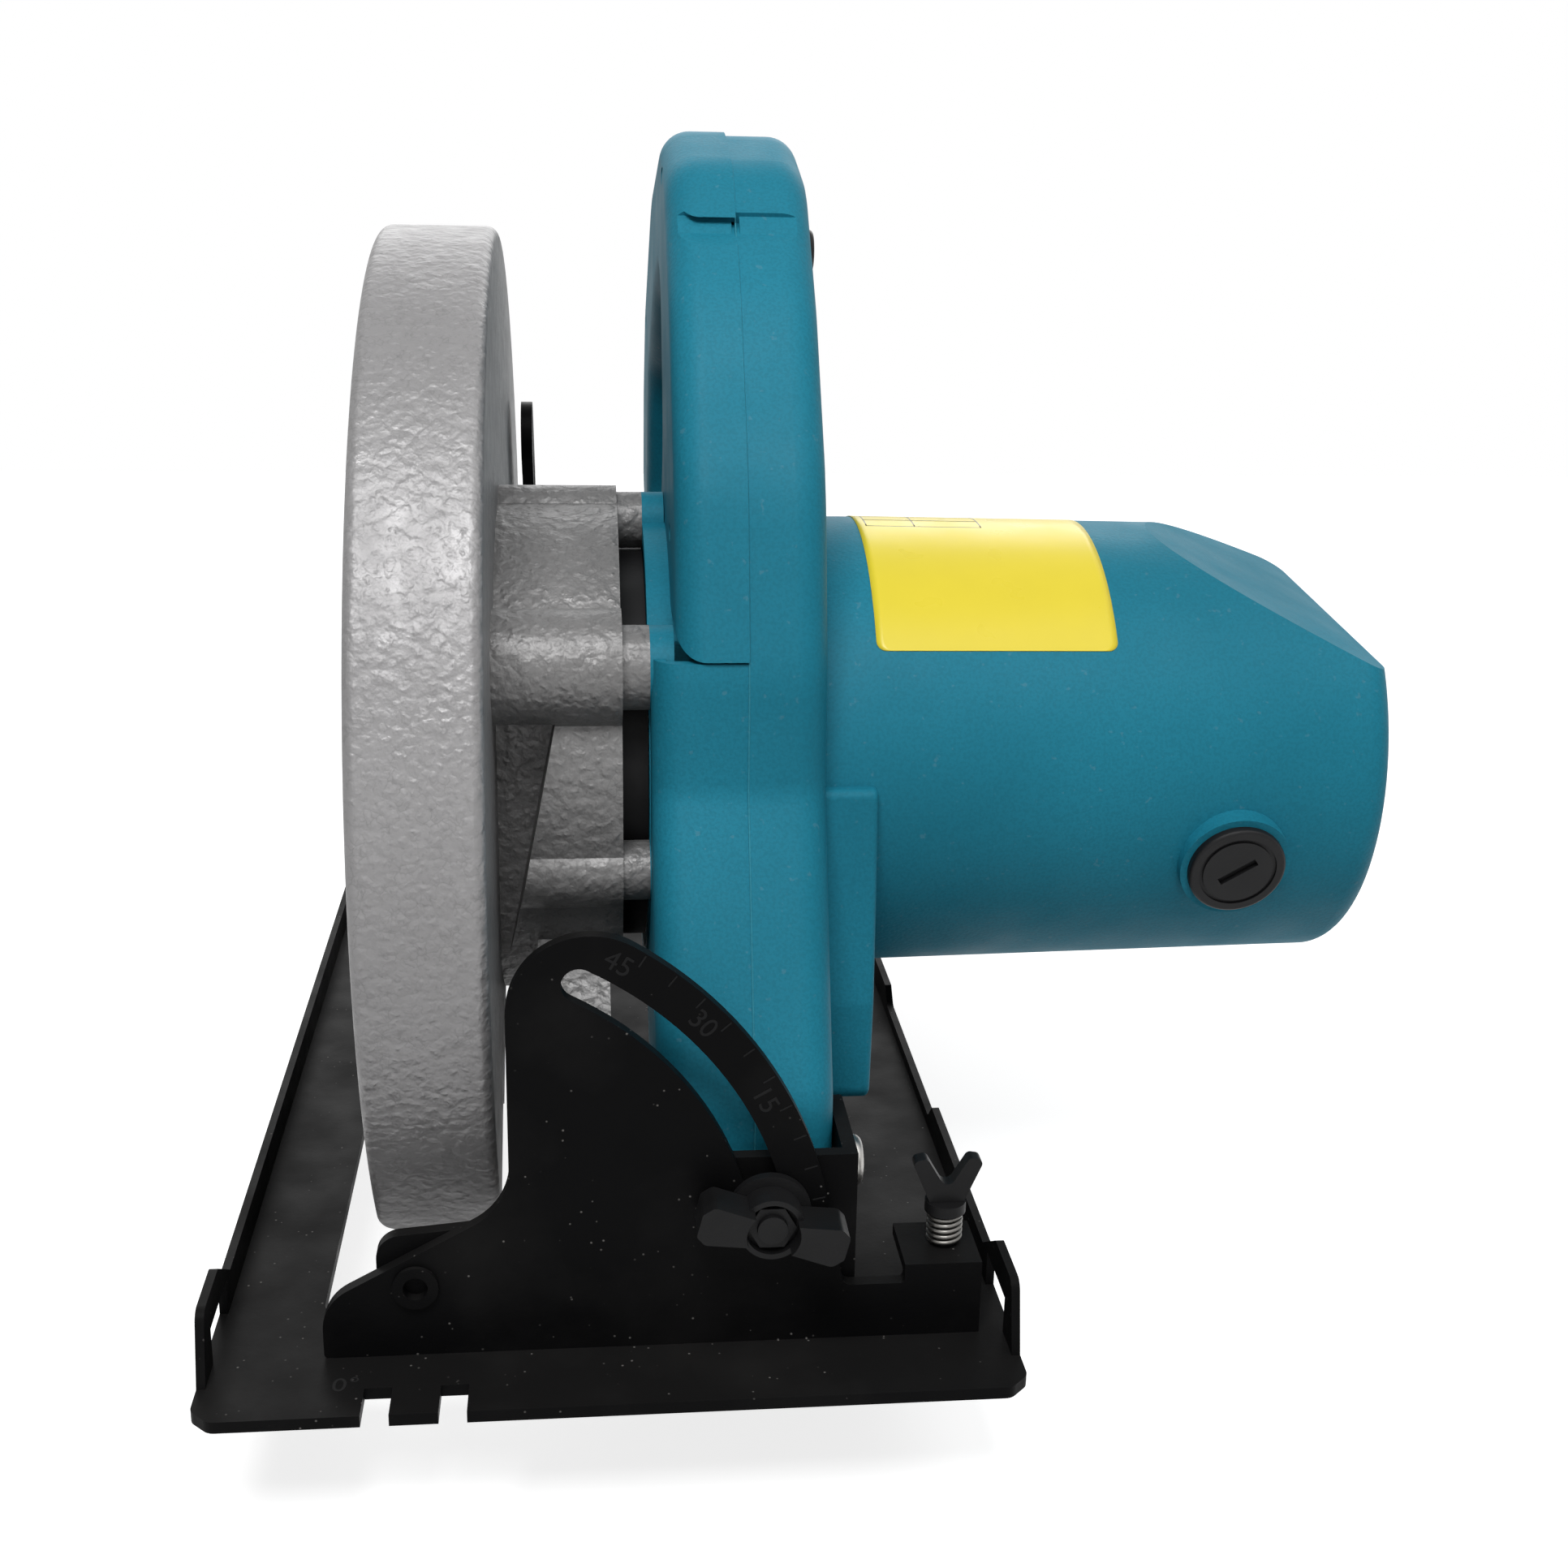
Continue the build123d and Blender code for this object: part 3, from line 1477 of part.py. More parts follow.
def armature_core():
    """Slotted laminations on the shaft."""
    face = Pos(*motor) * Circle(core_radius)
    face -= Pos(*motor) * Circle(shaft_radius)
    for slot in range(armature_slots):
        at = 360.0 * slot / armature_slots
        face -= make_face(
            Polyline(
                polar(motor, core_radius + 1.0, at - 2.0),
                polar(motor, core_radius - 9.0, at - 3.5),
                polar(motor, core_radius - 9.0, at + 3.5),
                polar(motor, core_radius + 1.0, at + 2.0),
                close=True,
            )
        )
    return plate_x(face, core_x0, core_x1)


def armature_windings():
    """Overhang of the windings at both ends of the core."""
    heads = []
    for x0, x1 in ((core_x0 - 12.0, core_x0), (core_x1, core_x1 + 12.0)):
        head = rod_x(core_radius - 2.0, x0, x1, motor, shaft_radius)
        heads.append(fillet(head.edges().filter_by(GeomType.CIRCLE).sort_by(SortBy.RADIUS)[-2:], 4.0))
    return heads


def commutator():
    """Copper segments as one ring with scored gaps."""
    face = Pos(*motor) * Circle(commutator_radius)
    face -= Pos(*motor) * Circle(shaft_radius)
    for slot in range(2 * armature_slots):
        at = 360.0 * slot / (2 * armature_slots)
        face -= Pos(*polar(motor, commutator_radius, at)) * Circle(0.5)
    return plate_x(face, commutator_x0, commutator_x0 + commutator_length)


def cooling_fan():
    """Radial fan between the gear housing and the core."""
    x0 = flange_x + 4.0
    fan = rod_x(fan_radius, x0 + fan_width - 2.0, x0 + fan_width, motor, shaft_radius)
    fan += rod_x(shaft_radius + 4.0, x0, x0 + fan_width, motor, shaft_radius)
    for number in range(fan_blades):
        at = 360.0 * number / fan_blades
        vane = make_face(
            Polyline(
                polar(motor, 16.0, at),
                polar(motor, fan_radius, at + 14.0),
                polar(motor, fan_radius, at + 17.0),
                polar(motor, 16.0, at + 6.0),
                close=True,
            )
        )
        fan += plate_x(vane, x0 + 1.0, x0 + fan_width - 2.0)
    return fan


def baffle():
    """Dark ring that closes the gap between the gear housing and the barrel."""
    rim = lug_circle - lug_neck_radius - slide_play
    ring = rod_x(rim, gear_end, flange_x, motor, motor_bearing_radius + 3.0)
    return ring - rod_x(fan_radius - 8.0, gear_end + 2.0, flange_x, motor, motor_bearing_radius + 3.0)


def brush_places():
    """Local frames on the two brush axes, with Z pointing outwards."""
    places = []
    for turn in (180.0 + brush_tilt, brush_tilt):
        out = math.radians(turn)
        places.append(
            Plane(
                origin=(brush_x, *motor), x_dir=(1, 0, 0), z_dir=(0, math.cos(out), math.sin(out))
            ).location
        )
    return places


def column(radius, z0, z1, bore=0.0):
    """Cylinder or tube along the local Z axis."""
    solid = Pos(0, 0, (z0 + z1) / 2) * Cylinder(radius, z1 - z0)
    if bore:
        solid -= Pos(0, 0, (z0 + z1) / 2) * Cylinder(bore, z1 - z0)
    return solid


def brush_seats():
    """Round bosses that hold the brush holders and caps."""
    seats = Part()
    for place in brush_places():
        seats += place * column(cap_radius + 1.6, barrel_radius - 12.0, cap_seat)
    return seats


def brush_holders():
    holders = []
    for place in brush_places():
        tube = column(holder_radius, holder_start, cap_seat - cap_height + 1.0)
        tube -= Pos(0, 0, 40.0) * Box(brush_width + 0.3, brush_depth + 0.3, 80.0)
        holders.append(place * tube)
    return holders


def carbon_brushes():
    brushes = []
    for place in brush_places():
        z0 = commutator_radius + 0.1
        brush = Pos(0, 0, (z0 + brush_top) / 2) * Box(brush_width, brush_depth, brush_top - z0)
        brushes.append(place * brush)
    return brushes


def brush_springs():
    """Plugs of the brush pressure springs behind the brushes."""
    return [place * column(2.6, brush_top, cap_seat - cap_height + 1.0, 1.6) for place in brush_places()]


def brush_caps():
    caps = []
    for place in brush_places():
        cap = column(holder_radius, cap_seat - cap_height + 1.0, cap_seat)
        head = column(cap_radius, cap_seat, cap_seat + 2.0)
        cap += fillet(head.edges().sort_by(Axis.Z)[-1], 0.8)
        cap -= column(cap_radius * 0.8, cap_seat + 1.5, cap_seat + 3.0, cap_radius * 0.72)
        cap -= Pos(0, 0, cap_seat + 2.0) * Rot(0, 0, 35.0) * Box(cap_radius * 0.85, 1.9, 2.4)
        caps.append(place * cap)
    return caps


def from_pivot(points):
    return [(pivot_y + y, pivot_z + z) for y, z in points]


def handle_half(x0, x1, outer_x, proud):
    """One half of the closed-loop handle: a rounded shell open at the parting plane."""
    outer = inset(from_pivot(handle_points), -proud)
    hole = from_pivot(opening_points)
    solid = plate_x(outline(outer, handle_radii) - outline(hole, opening_radii), x0, x1)
    side = solid.faces().sort_by(Axis.X)[0 if outer_x == x0 else -1]
    solid = fillet(side.edges(), handle_round)
    cavity_outer = outline(inset(outer, handle_wall), [max(r - handle_wall, 2.0) for r in handle_radii])
    cavity_hole = outline(inset(hole, -handle_wall), [r + handle_wall for r in opening_radii])
    inner_x0 = x0 + handle_wall if outer_x == x0 else x0 - 1
    inner_x1 = x1 - handle_wall if outer_x == x1 else x1 + 1
    cavity = plate_x(cavity_outer - cavity_hole, inner_x0, inner_x1)
    cavity -= handle_bosses(x0, x1)
    solid -= cavity
    solid -= rod_x(barrel_radius + seat_gap, x0 - 1, x1 + 1, motor)
    solid -= rod_x(pivot_pin_radius + pin_play, x0 - 1, x1 + 1, (pivot_y, pivot_z))
    solid -= groove_band(x0, x1)
    for y, z in handle_screw_places():
        solid -= rod_x(handle_screw_radius, x0 - 1, x1 + 1, (y, z))
    solid -= trigger_slot()
    solid -= gland_hole()
    return solid


def handle_bosses(x0, x1):
    """Pillars left in the cavity round the pivot, the screws and the barrel seat."""
    pillars = rod_x(pivot_pin_radius + 4.0, x0 - 1, x1 + 1, (pivot_y, pivot_z))
    pillars += rod_x(barrel_radius + seat_gap + handle_wall, x0 - 1, x1 + 1, motor)
    for y, z in handle_screw_places():
        pillars += rod_x(handle_screw_radius + 3.0, x0 - 1, x1 + 1, (y, z))
    return pillars


def handle_screw_places():
    return from_pivot(handle_screw_points)


def groove_band(x0, x1):
    """Shallow band across the handle's front, just below its top."""
    top = from_pivot([(62.0, 191.0)])[0]
    band = Plane(origin=(0, top[0], top[1]), x_dir=(1, 0, 0), z_dir=(0, -0.447, 0.894))
    plate = band * Pos(0, -14.0, 0) * Box(200.0, 40.0, groove_width)
    core = inset(from_pivot(handle_points), groove_depth)
    keep = plate_x(outline(core, handle_radii), x0 + groove_depth, x1 - groove_depth)
    return plate - keep


def trigger_slot():
    place = trigger_frame()
    return place * Pos(trigger_length / 2, 0, 0) * Box(
        trigger_length + 2 * slide_play, trigger_width + 2 * slide_play, 36.0
    )


def trigger_frame():
    """Frame at the trigger's front end: X along the grip, Z out of its underside."""
    slope = math.radians(grip_slope)
    y, z = from_pivot([trigger_point])[0]
    return Plane(
        origin=(parting_x, y, z),
        x_dir=(0, math.cos(slope), math.sin(slope)),
        z_dir=(0, math.sin(slope), -math.cos(slope)),
    ).location


def trigger():
    """Curved trigger that slides up into the grip."""
    face = outline(
        [
            (0.0, -trigger_top),
            (trigger_length, -trigger_top),
            (trigger_length, 6.0),
            (trigger_length - 8.0, 11.0),
            (trigger_length * 0.45, 8.0),
            (6.0, 13.0),
            (0.0, 9.0),
        ],
        [1, 1, 4, 5, 16, 4, 3],
    )
    side = Plane(origin=(0, trigger_width / 2, 0), x_dir=(1, 0, 0), z_dir=(0, -1, 0))
    blade = extrude(side * face, amount=trigger_width)
    return trigger_frame() * blade


def switch_body():
    """Switch block above the trigger, inside the grip."""
    room = handle_right_x - handle_left_x - 2 * handle_wall - slide_play
    middle = (handle_left_x + handle_right_x) / 2 - parting_x
    top = trigger_top + trigger_travel + slide_play
    return trigger_frame() * Pos(trigger_length / 2, middle, -top - switch_height / 2) * Box(
        34.0, room, switch_height
    )


def lock_button():
    """Round push button through the right half's side, for the thumb."""
    centre = from_pivot([button_point])[0]
    tip = handle_right_x + button_stand
    stem = rod_x(button_radius, handle_right_x - 10.0, tip, centre)
    return fillet(stem.edges().sort_by(Axis.X)[-1], 1.2)


def gland_frame():
    slope = math.radians(gland_slope)
    y, z = from_pivot([gland_point])[0]
    return Plane(
        origin=(parting_x, y, z), x_dir=(1, 0, 0), z_dir=(0, math.cos(slope), math.sin(slope))
    ).location


def gland_hole():
    return gland_frame() * column(gland_radius, -30.0, 40.0)


def cord_gland():
    """Ring at the cord's inlet in the rear of the handle."""
    ring = column(gland_radius, -8.0, 4.0, gland_radius - 2.2)
    return gland_frame() * ring


def leg_zone(grow, corner):
    """Space of the front leg below the cover, in front of the motor."""
    top = pivot_z + seam_up + grow
    left = flange_x - 5.0
    face = make_face(
        Polyline((left, -50.0), (parting_x + 5.0, -50.0), (parting_x + 5.0, top), (left, top), close=True)
    )
    if corner:
        arc_x = handle_left_x + corner
        face += make_face(
            Polyline(
                (left, top - 1.0), (handle_left_x + corner, top - 1.0), (arc_x, top),
                (handle_left_x, top + corner), (left, top + corner), close=True
            )
        )
        face -= Pos(arc_x, top + corner) * Circle(corner)
    return plate_y(face, pivot_y - 60.0, motor[0])


def handle_cover():
    """Left cover of the grip, with a rounded lower corner above the leg."""
    return handle_half(handle_left_x, parting_x, handle_left_x, cover_proud) - leg_zone(0.0, seam_round)


def handle_leg():
    """Left half of the front leg below the cover, reaching the motor's flange."""
    left = flange_x + handle_gap
    leg = handle_half(left, parting_x, left, 0.0) & leg_zone(-seam_gap, 0.0)
    for centre, _, neck in bosses():
        leg -= rod_x(neck + slide_play, left - 1, flange_x + flange_plate + slide_play, centre)
    return leg.solids().sort_by(SortBy.VOLUME)[-1]


def handle_right():
    solid = handle_half(parting_x, handle_right_x, handle_right_x, 0.0)
    centre = from_pivot([button_point])[0]
    rim = rod_x(button_radius + 3.0, handle_right_x - 4.0, handle_right_x + 1.2, centre)
    solid += fillet(rim.edges().sort_by(Axis.X)[-1], 1.0)
    return solid - rod_x(button_radius + pin_play, parting_x, handle_right_x + 4, centre)


def handle_screws():
    screws = []
    for y, z in handle_screw_places():
        shank = rod_x(handle_screw_radius, handle_left_x + 4.0, handle_right_x - 4.0, (y, z))
        screws.append(shank)
    return screws


def housing_screws():
    screws = []
    for centre, _, _ in bosses():
        screws.append(rod_x(screw_radius, gear_end - 12.0, flange_x + flange_plate, centre))
    return screws


# Depth clamp
def depth_clamp_stud():
    """Stud in the guard's boss, through the guide's slot."""
    return rod_x(clamp_bolt_radius, guard_right - upper_wall, guide_x1 + clamp_tail, depth_clamp)


def depth_lever():
    """Clamp lever with a threaded hub on the bolt."""
    x0 = guide_x1 + guide_gap
    hub = rod_x(7.5, x0, x0 + 8.0, depth_clamp)
    tip = polar(depth_clamp, lever_length, lever_rest)
    side = math.radians(lever_rest + 90.0)
    dy = math.cos(side)
    dz = math.sin(side)
    arm = make_face(
        Polyline(
            (depth_clamp[0] - 5.0 * dy, depth_clamp[1] - 5.0 * dz),
            (depth_clamp[0] + 5.0 * dy, depth_clamp[1] + 5.0 * dz),
            (tip[0] + 6.0 * dy, tip[1] + 6.0 * dz),
            (tip[0] - 6.0 * dy, tip[1] - 6.0 * dz),
            close=True,
        )
    )
    hub += plate_x(arm + Pos(*tip) * Circle(6.0), x0 + 3.0, x0 + 8.0)
    return hub - rod_x(clamp_bolt_radius + pin_play, x0 - 1, x0 + 12.0, depth_clamp)


NODES = [
    base_plate,
    bevel_quadrant,
    rear_stand,
    stand_rivets,
    fence_clamp_spring,
    fence_clamp_screw,
    front_tilt_bracket,
    front_bevel_pin,
    bevel_bolt,
    bevel_wing_nut,
    depth_pivot_pin,
    rear_tilt_bracket,
    rear_bevel_pin,
    depth_guide,
    guide_rivets,
    upper_guard,
    gear_housing,
    bearing_box,
    guard_ring,
    guard_spring,
    box_screws,
    guard_screws,
    spindle_bearings,
    lower_guard,
    guard_lever,
    lever_rivets,
    spindle,
    drive_gear,
    inner_flange,
    outer_flange,
    saw_blade,
    carbide_tips,
    blade_bolt,
    motor_housing,
    motor_bearings,
    field_core,
    field_coils,
    armature_shaft,
    armature_core,
    armature_windings,
    commutator,
    cooling_fan,
    baffle,
    brush_holders,
    carbon_brushes,
    brush_springs,
    brush_caps,
    handle_cover,
    handle_leg,
    handle_right,
    handle_screws,
    housing_screws,
    switch_body,
    cord_gland,
    trigger,
    lock_button,
    depth_clamp_stud,
    depth_lever,
]

os.makedirs("parts", exist_ok=True)
for make in NODES:
    shape = make()
    if isinstance(shape, list):
        shape = Compound(children=[Part(solid.wrapped) if solid.wrapped else solid for solid in shape])
    export_step(shape, f"parts/{make.__name__}.step")
print(f"spring's least gap to itself: {spring_self_gap():.2f} mm")
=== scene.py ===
import json
import math

import bmesh
import bpy
from mathutils import Matrix, Vector
from mathutils.bvhtree import BVHTree


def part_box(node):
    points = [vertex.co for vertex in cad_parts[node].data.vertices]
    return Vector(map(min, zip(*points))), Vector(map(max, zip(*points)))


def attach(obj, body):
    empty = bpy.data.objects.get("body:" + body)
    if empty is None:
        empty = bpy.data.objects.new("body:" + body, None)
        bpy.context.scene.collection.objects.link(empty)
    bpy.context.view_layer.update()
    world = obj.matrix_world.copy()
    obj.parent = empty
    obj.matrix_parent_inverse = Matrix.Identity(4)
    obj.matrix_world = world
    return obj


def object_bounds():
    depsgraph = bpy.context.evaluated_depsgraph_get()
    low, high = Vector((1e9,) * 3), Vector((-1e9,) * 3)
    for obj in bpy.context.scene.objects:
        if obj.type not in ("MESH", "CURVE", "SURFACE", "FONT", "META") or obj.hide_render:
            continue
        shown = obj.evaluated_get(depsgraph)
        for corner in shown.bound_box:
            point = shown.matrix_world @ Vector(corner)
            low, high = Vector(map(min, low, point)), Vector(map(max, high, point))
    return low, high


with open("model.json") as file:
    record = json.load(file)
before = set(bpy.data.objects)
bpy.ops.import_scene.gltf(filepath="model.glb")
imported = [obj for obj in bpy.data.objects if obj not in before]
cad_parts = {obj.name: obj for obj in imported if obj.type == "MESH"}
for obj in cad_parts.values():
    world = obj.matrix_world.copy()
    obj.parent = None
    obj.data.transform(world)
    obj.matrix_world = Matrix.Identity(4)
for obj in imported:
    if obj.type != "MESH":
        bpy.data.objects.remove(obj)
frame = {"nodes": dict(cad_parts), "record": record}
cad_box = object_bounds()
nodes = frame["nodes"]

# Photograph: a square frame, with the focal length in its pixels
PHOTO_SIZE = 1932
PHOTO_FOCAL = 2400.0
SENSOR = 36.0
CAMERA_PLACE = (-0.005185, -0.496007, 0.232544)
CAMERA_DOWN = 17.328
CAMERA_TURN = -6.142
CAMERA_ROLL = 1.155

TEAL = (0.011, 0.182, 0.266)
# Paler copy of the teal for the mould seam bead: a painted highlight along the seam ridge
SEAM_HIGHLIGHT_TEAL = (0.030, 0.235, 0.320)
BLACK_PAINT = (0.0032, 0.0032, 0.0034)
STAMPED = (0.016, 0.016, 0.0165)
BLACK_PLASTIC = (0.007, 0.007, 0.0076)
SATIN = (0.0055, 0.0055, 0.0058)
CAST = (0.265, 0.261, 0.263)
CAST_DARK = (0.165, 0.163, 0.162)
CAST_METAL = 0.35
PEBBLE_SCALE = 480.0
PEBBLE_WANDER = 0.0030
STEEL = (0.40, 0.40, 0.395)
YELLOW = (0.76, 0.62, 0.04)
INK = (0.012, 0.012, 0.014)
DUST = (0.16, 0.155, 0.15)
SETTLED_DUST = 0.035


def linked(tree, source, target):
    tree.links.new(source, target)


class Shader:
    """A principled material with helpers for the textures that drive it."""

    def __init__(self, name, color, rough, metal=0.0):
        self.mat = bpy.data.materials.new(name)
        self.mat.use_nodes = True
        self.tree = self.mat.node_tree
        self.bsdf = self.tree.nodes["Principled BSDF"]
        self.bsdf.inputs["Base Color"].default_value = (*color, 1.0)
        self.bsdf.inputs["Roughness"].default_value = rough
        self.bsdf.inputs["Metallic"].default_value = metal
        self.coord = self.tree.nodes.new("ShaderNodeTexCoord")
        self.normal = None

    def node(self, kind, **values):
        made = self.tree.nodes.new(kind)
        for key, value in values.items():
            setattr(made, key, value)
        return made

    def noise(self, scale, detail=3.0, rough=0.5, distortion=0.0):
        tex = self.node("ShaderNodeTexNoise")
        tex.inputs["Scale"].default_value = scale
        tex.inputs["Detail"].default_value = detail
        tex.inputs["Roughness"].default_value = rough
        tex.inputs["Distortion"].default_value = distortion
        linked(self.tree, self.coord.outputs["Object"], tex.inputs["Vector"])
        return tex.outputs["Fac"]

    def cells(self, scale, feature="F1"):
        tex = self.node("ShaderNodeTexVoronoi", feature=feature)
        tex.inputs["Scale"].default_value = scale
        linked(self.tree, self.coord.outputs["Object"], tex.inputs["Vector"])
        return tex.outputs["Distance"]

    def ramp(self, source, low, high, first, last):
        """Colour ramp between two places of a texture."""
        made = self.node("ShaderNodeValToRGB")
        stops = made.color_ramp.elements
        stops[0].position = low
        stops[0].color = (*first, 1.0)
        stops[1].position = high
        stops[1].color = (*last, 1.0)
        linked(self.tree, source, made.inputs["Fac"])
        return made.outputs["Color"]

    def level(self, source, low, high, first, last):
        """Grey level between two places of a texture."""
        made = self.node("ShaderNodeMapRange")
        made.inputs["From Min"].default_value = low
        made.inputs["From Max"].default_value = high
        made.inputs["To Min"].default_value = first
        made.inputs["To Max"].default_value = last
        linked(self.tree, source, made.inputs["Value"])
        return made.outputs["Result"]

    def mixed(self, factor, first, last):
        made = self.node("ShaderNodeMix", data_type="RGBA")
        for socket, value in ((made.inputs[0], factor), (made.inputs[6], first), (made.inputs[7], last)):
            if isinstance(value, tuple):
                socket.default_value = (*value, 1.0)
            elif isinstance(value, float):
                socket.default_value = value
            else:
                linked(self.tree, value, socket)
        return made.outputs[2]

    def bump(self, source, strength, distance):
        made = self.node("ShaderNodeBump")
        made.inputs["Strength"].default_value = strength
        made.inputs["Distance"].default_value = distance
        linked(self.tree, source, made.inputs["Height"])
        if self.normal is not None:
            linked(self.tree, self.normal, made.inputs["Normal"])
        self.normal = made.outputs["Normal"]
        linked(self.tree, self.normal, self.bsdf.inputs["Normal"])

    def color(self, source):
        linked(self.tree, source, self.bsdf.inputs["Base Color"])

    def rough(self, source):
        linked(self.tree, source, self.bsdf.inputs["Roughness"])

    def upward(self):
        """How far the surface faces up, from -1 to 1."""
        made = self.node("ShaderNodeSeparateXYZ")
        linked(self.tree, self.coord.outputs["Normal"], made.inputs["Vector"])
        return made.outputs["Z"]


def teal_plastic(name, color):
    made = Shader(name, color, 0.42)
    made.bsdf.inputs["Specular IOR Level"].default_value = 0.13
    shade = tuple(c * 0.88 for c in color)
    pale = tuple(c * 1.08 + 0.002 for c in color)
    tone = made.ramp(made.noise(16.0, 5.0), 0.35, 0.7, shade, pale)
    grain_share = made.level(made.noise(1400.0, 2.0), 0.42, 0.62, 0.0, 0.28)
    grain = made.mixed(grain_share, tone, tuple(c * 0.6 for c in color))
    dust = made.level(made.noise(520.0, 2.0), 0.68, 0.75, 0.0, 0.10)
    made.color(made.mixed(dust, grain, (0.30, 0.36, 0.38)))
    made.rough(made.level(made.noise(60.0, 4.0), 0.3, 0.7, 0.50, 0.62))
    made.bump(made.cells(1100.0), 0.30, 0.00012)
    made.bump(made.noise(2200.0, 2.0), 0.22, 0.00010)
    return made.mat


def cast_metal(name, color, pebble=1.0):
    """Sand-cast metal under a thin silver coat: small pebbles, broken fine cracks and pits."""
    made = Shader(name, color, 0.5, CAST_METAL)
    made.bsdf.inputs["Specular IOR Level"].default_value = 0.35
    dark = tuple(c * 0.90 for c in color)
    pale = tuple(min(c * 1.08, 1.0) for c in color)
    tone = made.ramp(made.noise(14.0, 4.0, 0.5), 0.3, 0.7, dark, pale)
    pits = made.level(made.noise(900.0, 2.0), 0.26, 0.40, 0.35, 0.0)
    pitted = made.mixed(pits, tone, tuple(c * 0.55 for c in color))
    wander = made.node("ShaderNodeTexNoise")
    wander.inputs["Scale"].default_value = 420.0
    linked(made.tree, made.coord.outputs["Object"], wander.inputs["Vector"])
    shift = made.node("ShaderNodeVectorMath", operation="MULTIPLY_ADD")
    shift.inputs[1].default_value = (PEBBLE_WANDER,) * 3
    linked(made.tree, wander.outputs["Color"], shift.inputs[0])
    linked(made.tree, made.coord.outputs["Object"], shift.inputs[2])
    edges = made.node("ShaderNodeTexVoronoi", feature="DISTANCE_TO_EDGE")
    lumps = made.node("ShaderNodeTexVoronoi", feature="SMOOTH_F1")
    for tex in (edges, lumps):
        tex.inputs["Scale"].default_value = PEBBLE_SCALE
        linked(made.tree, shift.outputs["Vector"], tex.inputs["Vector"])
    crack = made.level(edges.outputs["Distance"], 0.0, 0.09, 1.0, 0.0)
    broken = made.node("ShaderNodeMath", operation="MULTIPLY")
    linked(made.tree, crack, broken.inputs[0])
    patches = made.level(made.noise(260.0, 3.0), 0.44, 0.60, 0.0, 0.30 * pebble)
    linked(made.tree, patches, broken.inputs[1])
    made.color(made.mixed(broken.outputs[0], pitted, tuple(c * 0.38 for c in color)))
    made.rough(made.level(made.noise(160.0, 3.0), 0.3, 0.7, 0.40, 0.54))
    made.bump(made.level(lumps.outputs["Distance"], 0.0, 0.8, 1.0, 0.0), 0.42 * pebble, 0.0007)
    made.bump(made.noise(900.0, 3.0), 0.36 * pebble, 0.0003)
    return made.mat


def black_paint(name, color):
    made = Shader(name, color, 0.44)
    made.bsdf.inputs["Specular IOR Level"].default_value = 0.035
    film = made.level(made.noise(28.0, 5.0), 0.48, 0.78, 0.0, 0.05)
    settled = made.mixed(made.level(made.upward(), 0.7, 0.98, 0.0, SETTLED_DUST), color, DUST)
    dusty = made.mixed(film, settled, DUST)
    specks = made.level(made.cells(420.0), 0.12, 0.06, 0.0, 0.55)
    sparse = made.node("ShaderNodeMath", operation="MULTIPLY")
    linked(made.tree, specks, sparse.inputs[0])
    linked(made.tree, made.level(made.noise(140.0, 2.0), 0.50, 0.62, 0.0, 1.0), sparse.inputs[1])
    made.color(made.mixed(sparse.outputs[0], dusty, (0.24, 0.23, 0.22)))
    made.rough(made.level(made.noise(70.0, 4.0), 0.3, 0.7, 0.36, 0.54))
    made.bump(made.noise(900.0, 2.0), 0.16, 0.00015)
    made.bump(made.noise(60.0, 3.0), 0.05, 0.0005)
    return made.mat


def black_plastic(name, color, gloss=0.18):
    made = Shader(name, color, 0.45)
    made.bsdf.inputs["Specular IOR Level"].default_value = gloss
    pale = tuple(c * 1.4 for c in color)
    made.color(made.ramp(made.noise(50.0, 4.0), 0.35, 0.7, tuple(c * 0.8 for c in color), pale))
    made.rough(made.level(made.noise(90.0, 3.0), 0.3, 0.7, 0.38, 0.55))
    made.bump(made.noise(1800.0, 2.0), 0.2, 0.0001)
    return made.mat


def bright_metal(name, color, rough):
    made = Shader(name, color, rough, 1.0)
    made.color(made.ramp(made.noise(120.0, 4.0), 0.3, 0.7, tuple(c * 0.82 for c in color), color))
    made.rough(made.level(made.noise(300.0, 3.0), 0.3, 0.7, rough - 0.06, rough + 0.08))
    made.bump(made.noise(1500.0, 2.0), 0.08, 0.0001)
    return made.mat


def label_film(name, color, rough=0.30):
    made = Shader(name, color, rough)
    made.bsdf.inputs["Specular IOR Level"].default_value = 0.3
    made.color(made.ramp(made.noise(40.0, 3.0), 0.3, 0.7, tuple(c * 0.94 for c in color), color))
    made.rough(made.level(made.noise(120.0, 2.0), 0.3, 0.7, rough - 0.04, rough + 0.06))
    made.bump(made.noise(90.0, 2.0), 0.05, 0.0003)
    return made.mat


teal = teal_plastic("teal_plastic", TEAL)
# Paler teal material for the seam bead, a painted highlight
seam_highlight_teal = teal_plastic("seam_highlight_teal", SEAM_HIGHLIGHT_TEAL)
cast = cast_metal("cast_aluminium", CAST)
cast_fine = cast_metal("cast_fine", CAST_DARK, 1.15)
paint = black_paint("black_paint", BLACK_PAINT)
stamped = black_paint("stamped_mark", STAMPED)
plastic = black_plastic("black_plastic", BLACK_PLASTIC)
satin = black_plastic("satin_black", SATIN, 0.16)
steel = bright_metal("bright_steel", STEEL, 0.30)
zinc = bright_metal("zinc_steel", (0.46, 0.45, 0.43), 0.36)
spring_wire = bright_metal("spring_wire", (0.17, 0.165, 0.155), 0.38)
iron = bright_metal("lamination_steel", (0.22, 0.22, 0.23), 0.5)
copper = bright_metal("copper", (0.70, 0.33, 0.17), 0.32)
yellow = label_film("yellow_label", YELLOW)
ink = label_film("label_ink", INK)

